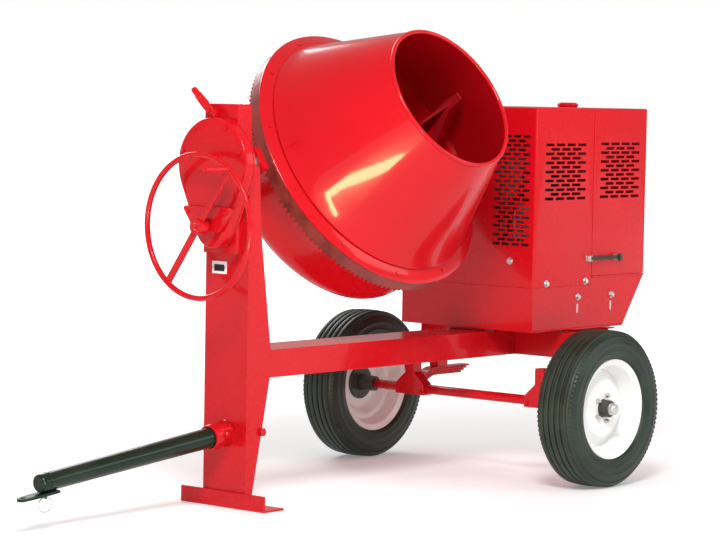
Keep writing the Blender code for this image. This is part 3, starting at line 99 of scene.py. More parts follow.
# %% [markdown]
# ## Shader maths in Python
#
# A pattern is arithmetic on sockets: scale this noise, subtract that mask, clamp the result. Wiring
# Math nodes by hand hides the idea. Wrapping a socket in a small class lets Python's own operators
# add the nodes, so a mask reads like the formula it is. Everything that isn't arithmetic comes
# from one method, which sets a node's settings first and its sockets second. The same pair of
# classes serves shader trees and geometry trees.

# %% Sockets that take part in arithmetic
class Signal:
    """The output socket of a node, for use in Python expressions."""

    def __init__(self, graph, socket):
        self.graph = graph
        self.socket = socket

    def maths(self, operation, *values):
        settings = {"operation": operation}
        return self.graph.node("ShaderNodeMath", settings, dict(enumerate(values)))

    def __add__(self, other):
        return self.maths("ADD", self, other)

    __radd__ = __add__

    def __sub__(self, other):
        return self.maths("SUBTRACT", self, other)

    def __rsub__(self, other):
        return self.maths("SUBTRACT", other, self)

    def __mul__(self, other):
        return self.maths("MULTIPLY", self, other)

    def __truediv__(self, other):
        return self.maths("DIVIDE", self, other)

    def __mod__(self, other):
        return self.maths("FLOORED_MODULO", self, other)

    def between(self, low, high):
        """0 below low, 1 above high, smooth in between."""
        inputs = {"Value": self, "From Min": low, "From Max": high}
        return self.graph.node("ShaderNodeMapRange", {"interpolation_type": "SMOOTHSTEP"}, inputs)


class Graph:
    """A node tree under construction."""

    def __init__(self, tree):
        self.tree = tree

    def node(self, kind, settings=None, inputs=None, output=0):
        made = self.tree.nodes.new(kind)
        for name, value in (settings or {}).items():
            setattr(made, name, value)
        for name, value in (inputs or {}).items():
            self.feed(made.inputs[name], value)
        return Signal(self, made.outputs[output])

    def feed(self, socket, value):
        if isinstance(value, Signal):
            self.tree.links.new(value.socket, socket)
        else:
            socket.default_value = value


# %% [markdown]
# ## Paint
#
# The frame, the drum and the cabinet wear a thick gloss enamel. Sprayed enamel is never one flat
# colour: it is a little deeper where it pooled, it has a fine orange peel, and thin sheet under it
# bends the reflections. Low on a road machine there is a breath of dust as well. One paint
# function with a few numbers covers every painted finish, and the gloss itself comes from a clear
# coat on the shader.

# %% Painted finishes
def surface(name, metallic=0.0, coat=0.0, coat_roughness=0.05, specular=0.5):
    """A new material, its graph, its shader and a signal of the object's own coordinates."""
    made = bpy.data.materials.new(name)
    made.use_nodes = True
    graph = Graph(made.node_tree)
    shader = made.node_tree.nodes["Principled BSDF"]
    shader.inputs["Metallic"].default_value = metallic
    shader.inputs["Coat Weight"].default_value = coat
    shader.inputs["Coat Roughness"].default_value = coat_roughness
    shader.inputs["Specular IOR Level"].default_value = specular
    place = graph.node("ShaderNodeTexCoord", output="Object")
    return made, graph, shader, place


def noise(graph, place, scale, detail=2.0, roughness=0.5):
    inputs = {"Vector": place, "Scale": scale, "Detail": detail, "Roughness": roughness}
    return graph.node("ShaderNodeTexNoise", None, inputs)


def colour_mix(graph, factor, first, second):
    inputs = {"Factor": factor, 6: first, 7: second}
    return graph.node("ShaderNodeMix", {"data_type": "RGBA"}, inputs, 2)


def bump(graph, height, distance, strength=1.0, under=None):
    inputs = {"Height": height, "Distance": distance, "Strength": strength}
    if under is not None:
        inputs["Normal"] = under
    return graph.node("ShaderNodeBump", None, inputs)


def shade(colour, share):
    return (colour[0] * share, colour[1] * share, colour[2] * share, 1.0)


DUST = (0.46, 0.40, 0.33, 1.0)
RED = (0.61, 0.0040, 0.010)
# The bowl's red is the body red made brighter: painted light that lifts the bowl, which sits in shade under the
# gear guard.
LIGHTENED_RED = (0.66, 0.0035, 0.009)


def enamel(name, colour, ripple=0.0, dust=0.015, gloss=0.24, peel=0.00012, coat=0.22):
    made, graph, shader, place = surface(name, coat=coat, coat_roughness=0.06, specular=0.13)
    pooled = noise(graph, place, 2.3, 3.0).between(0.35, 0.68)
    mottle = noise(graph, place, 38.0, 3.0).between(0.30, 0.75)
    deep = colour_mix(graph, pooled * 0.8 + mottle * 0.2, shade(colour, 0.93), shade(colour, 1.03))
    height = graph.node("ShaderNodeSeparateXYZ", None, {"Vector": place}, "Z")
    low = 1.0 - height.between(0.02, 0.65)
    specks = noise(graph, place, 170.0, 4.0, 0.65).between(0.50, 0.66)
    film = noise(graph, place, 7.0, 5.0, 0.6).between(0.42, 0.75)
    dirt = (low * 0.75 + 0.10) * (film * 0.6 + specks * 0.4) * dust
    graph.feed(shader.inputs["Base Color"], colour_mix(graph, dirt, deep, DUST))
    graph.feed(shader.inputs["Roughness"], gloss + mottle * 0.05 + dirt * 1.2)
    graph.feed(shader.inputs["Coat Weight"], coat - dirt * 1.5)
    normal = bump(graph, noise(graph, place, 420.0, 1.0), peel, 0.6)
    if ripple:
        normal = bump(graph, noise(graph, place, 3.1, 1.0), ripple, 1.0, normal)
    graph.feed(shader.inputs["Normal"], normal)
    return made


red_enamel = enamel("gloss_red_enamel", RED)
sheet_enamel = enamel("sheet_metal_red_enamel", RED, ripple=0.003)
drum_enamel = enamel("drum_red_enamel", RED, ripple=0.002, dust=0.012, gloss=0.20, coat=0.30)
# The bowl's enamel is a lighter copy of the body red, painted light for its shaded underside.
lightened_red_enamel = enamel("painted_light_red_enamel", LIGHTENED_RED, ripple=0.002, dust=0.015, gloss=0.26)
inside_enamel = enamel("drum_inside_enamel", (0.36, 0.006, 0.010), dust=0.10, gloss=0.42, coat=0.2)
drawbar_enamel = enamel("drawbar_green_black", (0.005, 0.020, 0.009), dust=0.05, gloss=0.30)
cream_enamel = enamel("wheel_cream_enamel", (0.90, 0.90, 0.88), dust=0.06, gloss=0.30)
black_enamel = enamel("engine_black_enamel", (0.016, 0.016, 0.017), dust=0.15, gloss=0.38, coat=0.2)
print("painted finishes:", len([m for m in bpy.data.materials if "enamel" in m.name]))

# %% [markdown]
# ## Bare metal, castings and rubber
#
# Bare metal needs a different recipe from paint. Turned steel shows fine rings or scratches as
# changes of roughness, a zinc plated bolt is blotchy, and a casting is grainy all over with oily
# dirt in its pits. Rubber is nearly black, dusty where it bulges, and has a soft sheen from the
# mould. A green-grey bloom keeps it from looking like a hole in the picture.

# %% Metals and rubber
def bare_metal(name, colour, gloss, grain=90.0, stretch=(1, 1, 1), pits=0.0001, stain=0.25):
    made, graph, shader, place = surface(name, metallic=1.0)
    drawn = graph.node("ShaderNodeMapping", None, {"Vector": place, "Scale": stretch})
    scratches = noise(graph, drawn, grain * 6, 3.0, 0.7).between(0.3, 0.7)
    blotches = noise(graph, place, grain / 3, 4.0).between(0.38, 0.70)
    tone = colour_mix(graph, blotches * stain, shade(colour, 1.0), shade(colour, 0.55))
    graph.feed(shader.inputs["Base Color"], tone)
    graph.feed(shader.inputs["Roughness"], gloss + scratches * 0.12 + blotches * stain * 0.4)
    graph.feed(shader.inputs["Normal"], bump(graph, scratches, pits, 0.5))
    return made


def casting(name, colour, metallic=0.5, grain=260.0, gloss=0.5, oil=0.5):
    made, graph, shader, place = surface(name, metallic=metallic, coat=0.1)
    sand = noise(graph, place, grain, 5.0, 0.6)
    stains = noise(graph, place, 14.0, 4.0).between(0.40, 0.66)
    tone = colour_mix(graph, stains * oil, shade(colour, 1.0), shade(colour, 0.35))
    graph.feed(shader.inputs["Base Color"], tone)
    graph.feed(shader.inputs["Roughness"], gloss + sand * 0.25 - stains * 0.12)
    graph.feed(shader.inputs["Normal"], bump(graph, sand, 0.0007, 0.7))
    return made


def rubber(name, colour, bloom, grain=520.0, dusty=0.35):
    made, graph, shader, place = surface(name, specular=0.45)
    cloud = noise(graph, place, 9.0, 4.0, 0.6).between(0.36, 0.72)
    skin = noise(graph, place, grain, 3.0, 0.7)
    worn = cloud * dusty + skin.between(0.55, 0.8) * 0.10
    tone = colour_mix(graph, worn, shade(colour, 1.0), bloom)
    graph.feed(shader.inputs["Base Color"], tone)
    graph.feed(shader.inputs["Roughness"], 0.40 + cloud * 0.14 + skin * 0.08)
    graph.feed(shader.inputs["Normal"], bump(graph, skin, 0.0003, 0.5))
    return made


zinc = bare_metal("zinc_plated_steel", (0.62, 0.62, 0.60), 0.26, 60.0)
turned_steel = bare_metal("turned_steel", (0.50, 0.50, 0.49), 0.24, 60.0, (0.06, 1, 1))
bright_steel = bare_metal("bright_spring_steel", (0.66, 0.66, 0.65), 0.14, 40.0, stain=0.1)
bronze = bare_metal("bush_bronze", (0.50, 0.31, 0.12), 0.30)
grey_iron = casting("grey_cast_iron", (0.19, 0.18, 0.175))
hub_iron = casting("greasy_hub_iron", (0.060, 0.060, 0.050), 0.4, 200.0, 0.42, 0.6)
gear_iron = casting("red_brown_gear_iron", (0.30, 0.030, 0.022), 0.2, 300.0, 0.42, 0.65)
cast_aluminium = casting("cast_aluminium", (0.55, 0.55, 0.54), 0.9, 320.0, 0.42, 0.3)
tyre_rubber = rubber("tyre_rubber", (0.007, 0.015, 0.008), (0.034, 0.066, 0.036, 1.0), 520.0, 0.45)
belt_rubber = rubber("belt_rubber", (0.014, 0.014, 0.014), (0.05, 0.05, 0.05, 1.0), 300.0, 0.2)
latch_rubber = rubber("latch_rubber", (0.020, 0.030, 0.018), (0.10, 0.12, 0.08, 1.0), 300.0, 0.3)
print("all finishes so far:", len(bpy.data.materials))

# %% [markdown]
# ## Three ways to make a solid
#
# Most of a mixer is turned, cut from plate or bent from tube, so three builders cover it. A lathe
# spins a closed profile, a plate cutter fills an outline with holes and gives it thickness, and a
# tube follows a route. A fourth copies a CAD node and rounds its edges, because real folded plate
# has no knife edges, and a rounded edge is what catches the light. Hardened normals keep the flats
# beside a rounded edge flat in reflections.

# %% Builders
def settle(made):
    """The object's modifiers worked into its mesh."""
    graph = bpy.context.evaluated_depsgraph_get()
    solid = bpy.data.meshes.new_from_object(made.evaluated_get(graph))
    made.modifiers.clear()
    made.data = solid
    return made


def piece(name, mesh, body, material, angle=35.0):
    """A finished piece: shaded smooth up to an angle, painted and riding on its body."""
    if isinstance(mesh, bmesh.types.BMesh):
        bmesh.ops.recalc_face_normals(mesh, faces=mesh.faces)
        stored = bpy.data.meshes.new(name)
        mesh.to_mesh(stored)
        mesh.free()
        mesh = stored
    made = bpy.data.objects.new(name, mesh)
    bpy.context.scene.collection.objects.link(made)
    mesh.polygons.foreach_set("use_smooth", [True] * len(mesh.polygons))
    mesh.set_sharp_from_angle(angle=math.radians(angle))
    if material is not None:
        mesh.materials.clear()
        mesh.materials.append(material)
    if body is not None:
        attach(made, body)
    return made


def lathe(profile, place, steps=96):
    """A closed (radius, height) profile spun about the local Z of place."""
    bm = bmesh.new()
    rings = []
    for i in range(steps):
        turn = 2 * math.pi * i / steps
        ring = [(r * math.cos(turn), r * math.sin(turn), z) for r, z in profile]
        rings.append([bm.verts.new(place @ Vector(point)) for point in ring])
    count = len(profile)
    for i, ring in enumerate(rings):
        after = rings[(i + 1) % steps]
        for k in range(count):
            bm.faces.new((ring[k], ring[(k + 1) % count], after[(k + 1) % count], after[k]))
    bmesh.ops.remove_doubles(bm, verts=bm.verts, dist=2e-5)
    bmesh.ops.dissolve_degenerate(bm, dist=1e-6, edges=bm.edges)
    return bm


def plate(outline, low, high, place, holes=()):
    """A filled (x, y) outline given thickness along the local Z of place."""
    bm = bmesh.new()
    for loop in (outline, *holes):
        verts = [bm.verts.new((x, y, low)) for x, y in loop]
        for a, b in zip(verts, verts[1:] + verts[:1]):
            bm.edges.new((a, b))
    bmesh.ops.triangle_fill(bm, use_beauty=True, edges=bm.edges)
    bmesh.ops.dissolve_limit(bm, angle_limit=0.01, verts=bm.verts, edges=bm.edges)
    grown = bmesh.ops.extrude_face_region(bm, geom=list(bm.faces))
    moved = [v for v in grown["geom"] if isinstance(v, bmesh.types.BMVert)]
    bmesh.ops.translate(bm, vec=(0, 0, high - low), verts=moved)
    bmesh.ops.transform(bm, matrix=place, verts=bm.verts)
    return bm


def tube(route, radius, sides=16, closed=False):
    """A round bar along a route of points. radius may be a list, one for each point."""
    bm = bmesh.new()
    radii = radius if isinstance(radius, list) else [radius] * len(route)
    count = len(route)
    rings = []
    side = None
    for i, here in enumerate(route):
        before = route[i - 1] if closed or i else here
        after = route[(i + 1) % count] if closed or i < count - 1 else here
        along = (after - before).normalized()
        if side is None:
            side = along.cross(Z if abs(along.z) < 0.9 else X)
        side = (side - along * side.dot(along)).normalized()
        across = along.cross(side)
        turns = [2 * math.pi * k / sides for k in range(sides)]
        places = [here + radii[i] * (math.cos(t) * side + math.sin(t) * across) for t in turns]
        rings.append([bm.verts.new(place) for place in places])
    pairs = zip(rings, rings[1:] + rings[:1]) if closed else zip(rings, rings[1:])
    for a, b in pairs:
        for k in range(sides):
            bm.faces.new((a[k], a[(k + 1) % sides], b[(k + 1) % sides], b[k]))
    if not closed:
        bm.faces.new(rings[0])
        bm.faces.new(rings[-1])
    return bm


def block(low, high):
    corners = [(x, y, z) for x in (low[0], high[0]) for y in (low[1], high[1]) for z in (low[2], high[2])]
    bm = bmesh.new()
    verts = [bm.verts.new(corner) for corner in corners]
    for face in ((0, 1, 3, 2), (4, 6, 7, 5), (0, 4, 5, 1), (2, 3, 7, 6), (0, 2, 6, 4), (1, 5, 7, 3)):
        bm.faces.new([verts[k] for k in face])
    return bm


def soften(made, width, segments=3, angle=38.0):
    """Rounds the sharp edges of an object."""
    step = made.modifiers.new("rounded", "BEVEL")
    step.width = width
    step.segments = segments
    step.limit_method = "ANGLE"
    step.angle_limit = math.radians(angle)
    step.harden_normals = True
    return settle(made)


def copy_of(node):
    """A CAD node's mesh with its corners merged and its flats made whole."""
    bm = bmesh.new()
    bm.from_mesh(frame["nodes"][node].data)
    bmesh.ops.remove_doubles(bm, verts=bm.verts, dist=2e-5)
    bmesh.ops.dissolve_limit(bm, angle_limit=0.012, verts=bm.verts, edges=bm.edges)
    return bm


def dressed(node, material, width=0.0015, segments=3):
    """A CAD node replaced by a copy of itself with rounded edges."""
    made = piece(node + "_rounded", copy_of(node), body_of_node[node], material)
    if width:
        soften(made, width, segments)
    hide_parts(node)
    return made


def spun(name, node, material, profile, place, steps=96, angle=35.0):
    """A turned piece that stands in for a CAD node and rides on its body."""
    made = piece(name, lathe(profile, place, steps), body_of_node[node], material, angle)
    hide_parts(node)
    return made


def repaint(material, *nodes):
    """CAD nodes that keep their own shape."""
    for node in nodes:
        kept = frame["nodes"][node]
        for slot in kept.material_slots:
            slot.material = material
        if not kept.material_slots:
            kept.data.materials.append(material)


def arc(centre, radius, start, end, steps):
    turns = [math.radians(start + (end - start) * i / steps) for i in range(steps + 1)]
    return [(centre[0] + radius * math.cos(t), centre[1] + radius * math.sin(t)) for t in turns]


def circle(centre, radius, steps=48):
    return arc(centre, radius, 0, 360 - 360 / steps, steps - 1)


print("builders ready")

# %% [markdown]
# ## Trees for what repeats
#
# Teeth, tread blocks and wheel nuts stand in rings. Fins and slots stand in rows. Bolts stand
# wherever two plates are joined, and a weld bead is a row of ripples along a seam. Each of those is
# one Geometry Nodes tree that is used many times. A tree takes its shape and sizes as inputs,
# places instances, makes them real and paints them. The result is turned into a plain mesh.

# %% A small frame round Geometry Nodes
def new_tree(name, inputs):
    tree = bpy.data.node_groups.new(name, "GeometryNodeTree")
    for label, kind, value in inputs:
        socket = tree.interface.new_socket(label, in_out="INPUT", socket_type="NodeSocket" + kind)
        if value is not None:
            socket.default_value = value
    tree.interface.new_socket("Result", in_out="OUTPUT", socket_type="NodeSocketGeometry")
    graph = Graph(tree)
    source = tree.nodes.new("NodeGroupInput")
    return graph, {s.name: Signal(graph, s) for s in source.outputs if s.name}


def end_tree(graph, instances, paint):
    """Makes the instances real, paints them and sends them out."""
    real = graph.node("GeometryNodeRealizeInstances", None, {"Geometry": instances})
    painted = graph.node("GeometryNodeSetMaterial", None, {"Geometry": real, "Material": paint})
    out = graph.tree.nodes.new("NodeGroupOutput")
    graph.tree.links.new(painted.socket, out.inputs["Result"])
    return graph.tree


def grown(tree, values, start=None):
    """The tree's result as a plain mesh. start is the mesh the tree begins from, if it takes one."""
    holder = bpy.data.objects.new("holder", start or bpy.data.meshes.new("holder"))
    bpy.context.scene.collection.objects.link(holder)
    step = holder.modifiers.new(tree.name, "NODES")
    step.node_group = tree
    for item in tree.interface.items_tree:
        if item.in_out == "INPUT" and item.name in values:
            step[item.identifier] = values[item.name]
    graph = bpy.context.evaluated_depsgraph_get()
    result = bpy.data.meshes.new_from_object(holder.evaluated_get(graph))
    bpy.data.objects.remove(holder)
    return result


def loose(name, bm):
    """A shape to copy, kept out of the scene."""
    bmesh.ops.recalc_face_normals(bm, faces=bm.faces)
    mesh = bpy.data.meshes.new(name)
    bm.to_mesh(mesh)
    bm.free()
    return bpy.data.objects.new(name, mesh)


# %% Ring of copies, grid of copies
graph, given = new_tree("ring_of_copies", (("Shape", "Object", None), ("Count", "Int", 12),
                                           ("Paint", "Material", None)))
index = graph.node("GeometryNodeInputIndex")
spots = graph.node("GeometryNodePoints", None, {"Count": given["Count"]})
shape = graph.node("GeometryNodeObjectInfo", None, {"Object": given["Shape"]}, "Geometry")
turn = graph.node("ShaderNodeCombineXYZ", None, {"Z": index * (2 * math.pi) / given["Count"]})
placed = {"Points": spots, "Instance": shape, "Rotation": turn}
copies = graph.node("GeometryNodeInstanceOnPoints", None, placed, "Instances")
ring_tree = end_tree(graph, copies, given["Paint"])

graph, given = new_tree("grid_of_copies", (
    ("Shape", "Object", None), ("Across", "Int", 4), ("Down", "Int", 10),
    ("Step across", "Float", 0.05), ("Step down", "Float", 0.02), ("Stagger", "Float", 0.0),
    ("Paint", "Material", None),
))
index = graph.node("GeometryNodeInputIndex")
column = index % given["Across"]
row = (index - column) / given["Across"]
odd = row % 2
spots = graph.node("GeometryNodePoints", None, {"Count": given["Across"] * given["Down"]})
x = (column + odd * given["Stagger"]) * given["Step across"]
place = graph.node("ShaderNodeCombineXYZ", None, {"X": x, "Y": row * given["Step down"] * -1.0})
spots = graph.node("GeometryNodeSetPosition", None, {"Geometry": spots, "Position": place})
beyond = column + odd * given["Stagger"] - given["Across"] + 1.01
over = graph.node("FunctionNodeCompare", {"operation": "GREATER_THAN"}, {0: beyond, 1: 0.02})
spots = graph.node("GeometryNodeDeleteGeometry", {"domain": "POINT"},
                   {"Geometry": spots, "Selection": over})
shape = graph.node("GeometryNodeObjectInfo", None, {"Object": given["Shape"]}, "Geometry")
copies = graph.node("GeometryNodeInstanceOnPoints", None, {"Points": spots, "Instance": shape},
                    "Instances")
grid_tree = end_tree(graph, copies, given["Paint"])
print(ring_tree.name, "and", grid_tree.name)

# %% Bolts at marked points, and ripples along a seam
graph, given = new_tree("bolts_at_points", (("Marks", "Geometry", None), ("Shape", "Object", None),
                                            ("Paint", "Material", None)))
axis = graph.node("GeometryNodeInputNamedAttribute", {"data_type": "FLOAT_VECTOR"}, {"Name": "axis"})
size = graph.node("GeometryNodeInputNamedAttribute", {"data_type": "FLOAT"}, {"Name": "size"})
turned = graph.node("FunctionNodeAlignRotationToVector", {"axis": "Z"}, {"Vector": axis})
shape = graph.node("GeometryNodeObjectInfo", None, {"Object": given["Shape"]}, "Geometry")
marks = graph.node("GeometryNodeMeshToPoints", None, {"Mesh": given["Marks"]})
placed = {"Points": marks, "Instance": shape, "Rotation": turned, "Scale": size}
copies = graph.node("GeometryNodeInstanceOnPoints", None, placed, "Instances")
bolt_tree = end_tree(graph, copies, given["Paint"])

graph, given = new_tree("weld_bead", (("Seam", "Geometry", None), ("Ripple", "Object", None),
                                      ("Step", "Float", 0.004), ("Seed", "Int", 3),
                                      ("Paint", "Material", None)))
path = graph.node("GeometryNodeMeshToCurve", None, {"Mesh": given["Seam"]})
spread = {"Curve": path, "Length": given["Step"]}
path = graph.node("GeometryNodeResampleCurve", {"mode": "LENGTH"}, spread)
tangent = graph.node("GeometryNodeInputTangent")
turned = graph.node("FunctionNodeAlignRotationToVector", {"axis": "X"}, {"Vector": tangent})
grow = {2: 0.88, 3: 1.12, "Seed": given["Seed"]}
uneven = graph.node("FunctionNodeRandomValue", {"data_type": "FLOAT"}, grow, 1)
shape = graph.node("GeometryNodeObjectInfo", None, {"Object": given["Ripple"]}, "Geometry")
placed = {"Points": path, "Instance": shape, "Rotation": turned, "Scale": uneven}
copies = graph.node("GeometryNodeInstanceOnPoints", None, placed, "Instances")
weld_tree = end_tree(graph, copies, given["Paint"])
print(bolt_tree.name, "and", weld_tree.name)

# %% [markdown]
# ## Bolts and welds
#
# A bolt is a washer, a hexagon with its corners turned off, and the end of a screw. It is drawn
# one unit wide and scaled at each mark, so one shape serves every size. A ripple is a squashed
# ball of twenty faces, because a seam holds hundreds of them.

# %% The shapes and their helpers
def hex_bolt():
    bm = lathe([(0, -0.05), (0.62, -0.05), (0.62, 0.06), (0.60, 0.09), (0, 0.09)], Matrix(), 24)
    head = [(0, 0.09), (0.42, 0.09), (0.46, 0.13), (0.46, 0.42), (0.40, 0.48), (0, 0.48)]
    part = lathe(head, Matrix(), 6)
    spare = bpy.data.meshes.new("spare")
    part.to_mesh(spare)
    part.free()
    bm.from_mesh(spare)
    return bm


bolt_shape = loose("hex_bolt_shape", hex_bolt())
ripple = bmesh.new()
bmesh.ops.create_icosphere(ripple, subdivisions=1, radius=1.0)
bmesh.ops.scale(ripple, vec=(0.0034, 0.0032, 0.0018), verts=ripple.verts)
ripple_shape = loose("weld_ripple_shape", ripple)
bolt_count = 0


def bolts(name, body, marks, size=0.018, paint=None):
    """marks are (place, axis) pairs. Each gets a hexagon bolt whose washer sits on place."""
    global bolt_count
    mesh = bpy.data.meshes.new(name + "_marks")
    mesh.from_pydata([tuple(place) for place, _ in marks], [], [])
    axes = mesh.attributes.new("axis", "FLOAT_VECTOR", "POINT")
    axes.data.foreach_set("vector", [v for _, axis in marks for v in axis])
    sizes = mesh.attributes.new("size", "FLOAT", "POINT")
    sizes.data.foreach_set("value", [size] * len(marks))
    solid = grown(bolt_tree, {"Shape": bolt_shape, "Paint": paint or zinc}, mesh)
    bolt_count += len(marks)
    return piece(name, solid, body, None, 30)


def weld(name, body, routes, paint, step=0.004):
    """A bead along each route of points."""
    mesh = bpy.data.meshes.new(name + "_seam")
    points, edges = [], []
    for route in routes:
        first = len(points)
        points += [tuple(point) for point in route]
        edges += [(first + i, first + i + 1) for i in range(len(route) - 1)]
    mesh.from_pydata(points, edges, [])
    values = {"Ripple": ripple_shape, "Step": step, "Paint": paint}
    return piece(name, grown(weld_tree, values, mesh), body, None, 180)


def ring_of(name, body, shape_mesh, count, place, paint, angle=30):
    """Count copies of a shape about the local Z of place."""
    mesh = grown(ring_tree, {"Shape": loose(name + "_one", shape_mesh), "Count": count, "Paint": paint})
    mesh.transform(place)
    return piece(name, mesh, body, None, angle)


def row_of(shape, count, step, paint, place):
    """Copies of a loose shape in one row along world X from place."""
    values = {"Shape": shape, "Across": count, "Down": 1, "Step across": step, "Stagger": 0.0, "Paint": paint}
    mesh = grown(grid_tree, values)
    mesh.transform(Matrix.Translation(place))
    return mesh


print("bolt and ripple shapes ready")

# %% [markdown]
# ## The drum's skin
#
# The drum is two spun steel shells. A deep bowl sits on the drive side, and a long cone narrows to
# the mouth. The CAD solids are faceted for speed, and a large gloss shape shows every facet, so
# each shell is spun again from its profile with 192 steps. The cone ends in a rolled lip, and
# one pressed bead stiffens the wall of the bowl.

# %% Bowl, cone and rolled lip
BOWL_RADIUS, BOWL_TOP, BOWL_BOTTOM, KNUCKLE, WALL = 0.475, 0.058, -0.290, 0.100, 0.005
CONE_BASE, CONE_TOP, MOUTH, LIP = 0.487, 0.497, 0.286, 0.008
corner = (BOWL_RADIUS - KNUCKLE, BOWL_BOTTOM + KNUCKLE)
bowl = [(0, BOWL_BOTTOM + WALL)] + arc(corner, KNUCKLE - WALL, -90, 0, 16)
bowl += [(BOWL_RADIUS - WALL, BOWL_TOP), (BOWL_RADIUS, BOWL_TOP)]
bowl += [(BOWL_RADIUS, -0.045), (BOWL_RADIUS + 0.003, -0.050), (BOWL_RADIUS + 0.003, -0.058)]
bowl += [(BOWL_RADIUS, -0.063)] + arc(corner, KNUCKLE, 0, -90, 16) + [(0, BOWL_BOTTOM)]
# The bowl wears the lightened red, painted light on its shaded side.
spun("drum_bowl_shell", "drum_bowl", lightened_red_enamel, bowl, drum_place, 192)

start = BOWL_TOP + 0.0004
cone = [(0.470, start), (0.489, start), (0.491, start + 0.0015), (0.491, start + 0.005)]
cone += [(CONE_BASE + 0.0015, start + 0.008)]
cone += [(CONE_BASE + (MOUTH + LIP - CONE_BASE) * i / 8, start + 0.008 + (CONE_TOP - 0.014 - start) * i / 8)
         for i in range(1, 8)]
cone += arc((MOUTH, CONE_TOP), LIP, -40, 215, 14)
cone += [(CONE_BASE - 0.006, start + 0.010), (0.470, start + 0.006)]
spun("drum_cone_shell", "drum_cone", drum_enamel, cone, drum_place, 192)
print("drum", round(CONE_TOP - BOWL_BOTTOM, 3), "m deep, mouth", round(2 * MOUTH, 3), "m across")

# %% [markdown]
# ## Welds and seams on the drum
#
# The cone is rolled from one sheet, so a single weld runs up its side from the gear to the lip.
# The bowl's flat bottom carries a bead round its hub flange. Ground welds under paint read as a
# soft raised line, and a row of ripples gives that at the right scale.

# %% Weld beads
def on_drum(radius, turn, height):
    return drum_place @ Vector((radius * math.cos(turn), radius * math.sin(turn), height))


def cone_point(turn, share, lift=0.0004):
    radius = CONE_BASE + (MOUTH + LIP - CONE_BASE) * share
    return on_drum(radius + lift, turn, start + 0.010 + (CONE_TOP - 0.020 - start) * share)


seam_turn = math.radians(-62)
seams = [[cone_point(seam_turn, i / 40) for i in range(41)]]
weld("cone_seam_weld", "drum", seams, drum_enamel, 0.0045)
hub_ring = [on_drum(0.112, 2 * math.pi * i / 60, BOWL_BOTTOM - 0.0010) for i in range(61)]
# The hub weld wears the bowl's lightened red, the same painted light.
weld("hub_flange_weld", "drum", [hub_ring], lightened_red_enamel, 0.0045)
print("cone seam", round((seams[0][0] - seams[0][-1]).length, 3), "m long")

# %% [markdown]
# ## Crown gear and its guard
#
# A cast ring of 150 teeth sits round the widest part of the drum, facing the cradle. A thin
# conical guard covers it from above. One tooth with tapered flanks and a rounded tip is drawn, and
# the ring tree copies it. The band behind the teeth is a plain lathe shape.

# %% Crown gear
TEETH, RING_INNER, RING_OUTER, RING_ROOT, TOOTH = 150, 0.482, 0.537, -0.017, 0.013
pitch = 2 * math.pi * RING_OUTER / TEETH
band = [(RING_INNER, RING_ROOT), (RING_OUTER, RING_ROOT), (RING_OUTER, 0.0290), (RING_OUTER - 0.001, 0.030),
        (RING_INNER, 0.030)]
spun("ring_gear_band", "ring_gear", gear_iron, band, drum_place, 300)
root, flank, tip = 0.30 * pitch, 0.20 * pitch, 0.13 * pitch
outline = [(-root, 0.001), (root, 0.001), (flank, -TOOTH * 0.55), (tip, -TOOTH + 0.0010),
           (tip - 0.001, -TOOTH), (1e-3 - tip, -TOOTH), (-tip, 0.0010 - TOOTH), (-flank, -TOOTH * 0.55)]
outward = Matrix(((0, 0, 1, 0), (1, 0, 0, 0), (0, 1, 0, RING_ROOT), (0, 0, 0, 1)))
tooth = plate(outline, RING_INNER + 0.0005, RING_OUTER - 0.0005, outward)
half_step = Matrix.Rotation(math.pi / TEETH, 4, "Z")
made = ring_of("ring_gear_teeth", "drum", tooth, TEETH, drum_place @ half_step, gear_iron)
print(len(made.data.polygons), "faces in", TEETH, "teeth")

# %% Gear guard with its bolts
guard_top = BOWL_TOP - 0.0001
outer, drop = 0.541, 0.023
guard = [(0.480, guard_top - 0.006), (outer - 0.006, guard_top - drop),
         (outer - 0.003, guard_top - drop - 0.001),
         (outer - 0.001, guard_top - drop - 0.0008), (outer, guard_top - drop + 0.001),
         (outer, guard_top - drop + 0.004), (outer - 0.002, guard_top - drop + 0.0062),
         (0.484, guard_top - 0.0010), (0.480, guard_top)]
spun("gear_guard_spun", "gear_guard", drum_enamel, guard, drum_place, 192)
marks = []
for i in range(12):
    turn = 2 * math.pi * (i + 0.5) / 12
    spot = on_drum(0.512, turn, guard_top - 0.0105)
    lean = drum_place.to_3x3() @ Vector((0.36 * math.cos(turn), 0.36 * math.sin(turn), 0.93))
    marks.append((spot, lean.normalized()))
bolts("guard_bolts", "drum", marks, 0.014, drum_enamel)
print("guard held by", len(marks), "bolts")

# %% [markdown]
# ## Mixing paddles, hub and spindle
#
# Two bent blades stand inside the drum, and the end of one shows in the mouth as a slanting bar
# with a fork. The CAD solids have the right outline, so they are copied and given rounded edges.
# The hub is a turned casting with bolts through its flange.

# %% Inside the drum and under it
for node in ("mixing_paddle_a", "mixing_paddle_b"):
    dressed(node, inside_enamel, 0.003)
low, high = BOWL_BOTTOM - 0.055, BOWL_BOTTOM - 0.0004
hub = [(0.0256, low), (0.058, low), (0.060, low + 0.002), (0.066, high - 0.014), (0.070, high - 0.009),
       (0.108, high - 0.008), (0.110, high - 0.006), (0.110, high), (0, high), (0, high - 0.010),
       (0.0256, high - 0.010)]
spun("drum_hub_casting", "drum_hub", gear_iron, hub, drum_place)
marks = [(on_drum(0.090, math.radians(30 + 60 * i), high - 0.0082), -drum_axis) for i in range(6)]
bolts("drum_hub_bolts", "drum", marks, 0.018)
repaint(turned_steel, "drum_spindle")
dressed("yoke", red_enamel, 0.004, 4)
print("drum body holds", len([n for n in body_of_node.values() if n == "drum"]), "CAD nodes")

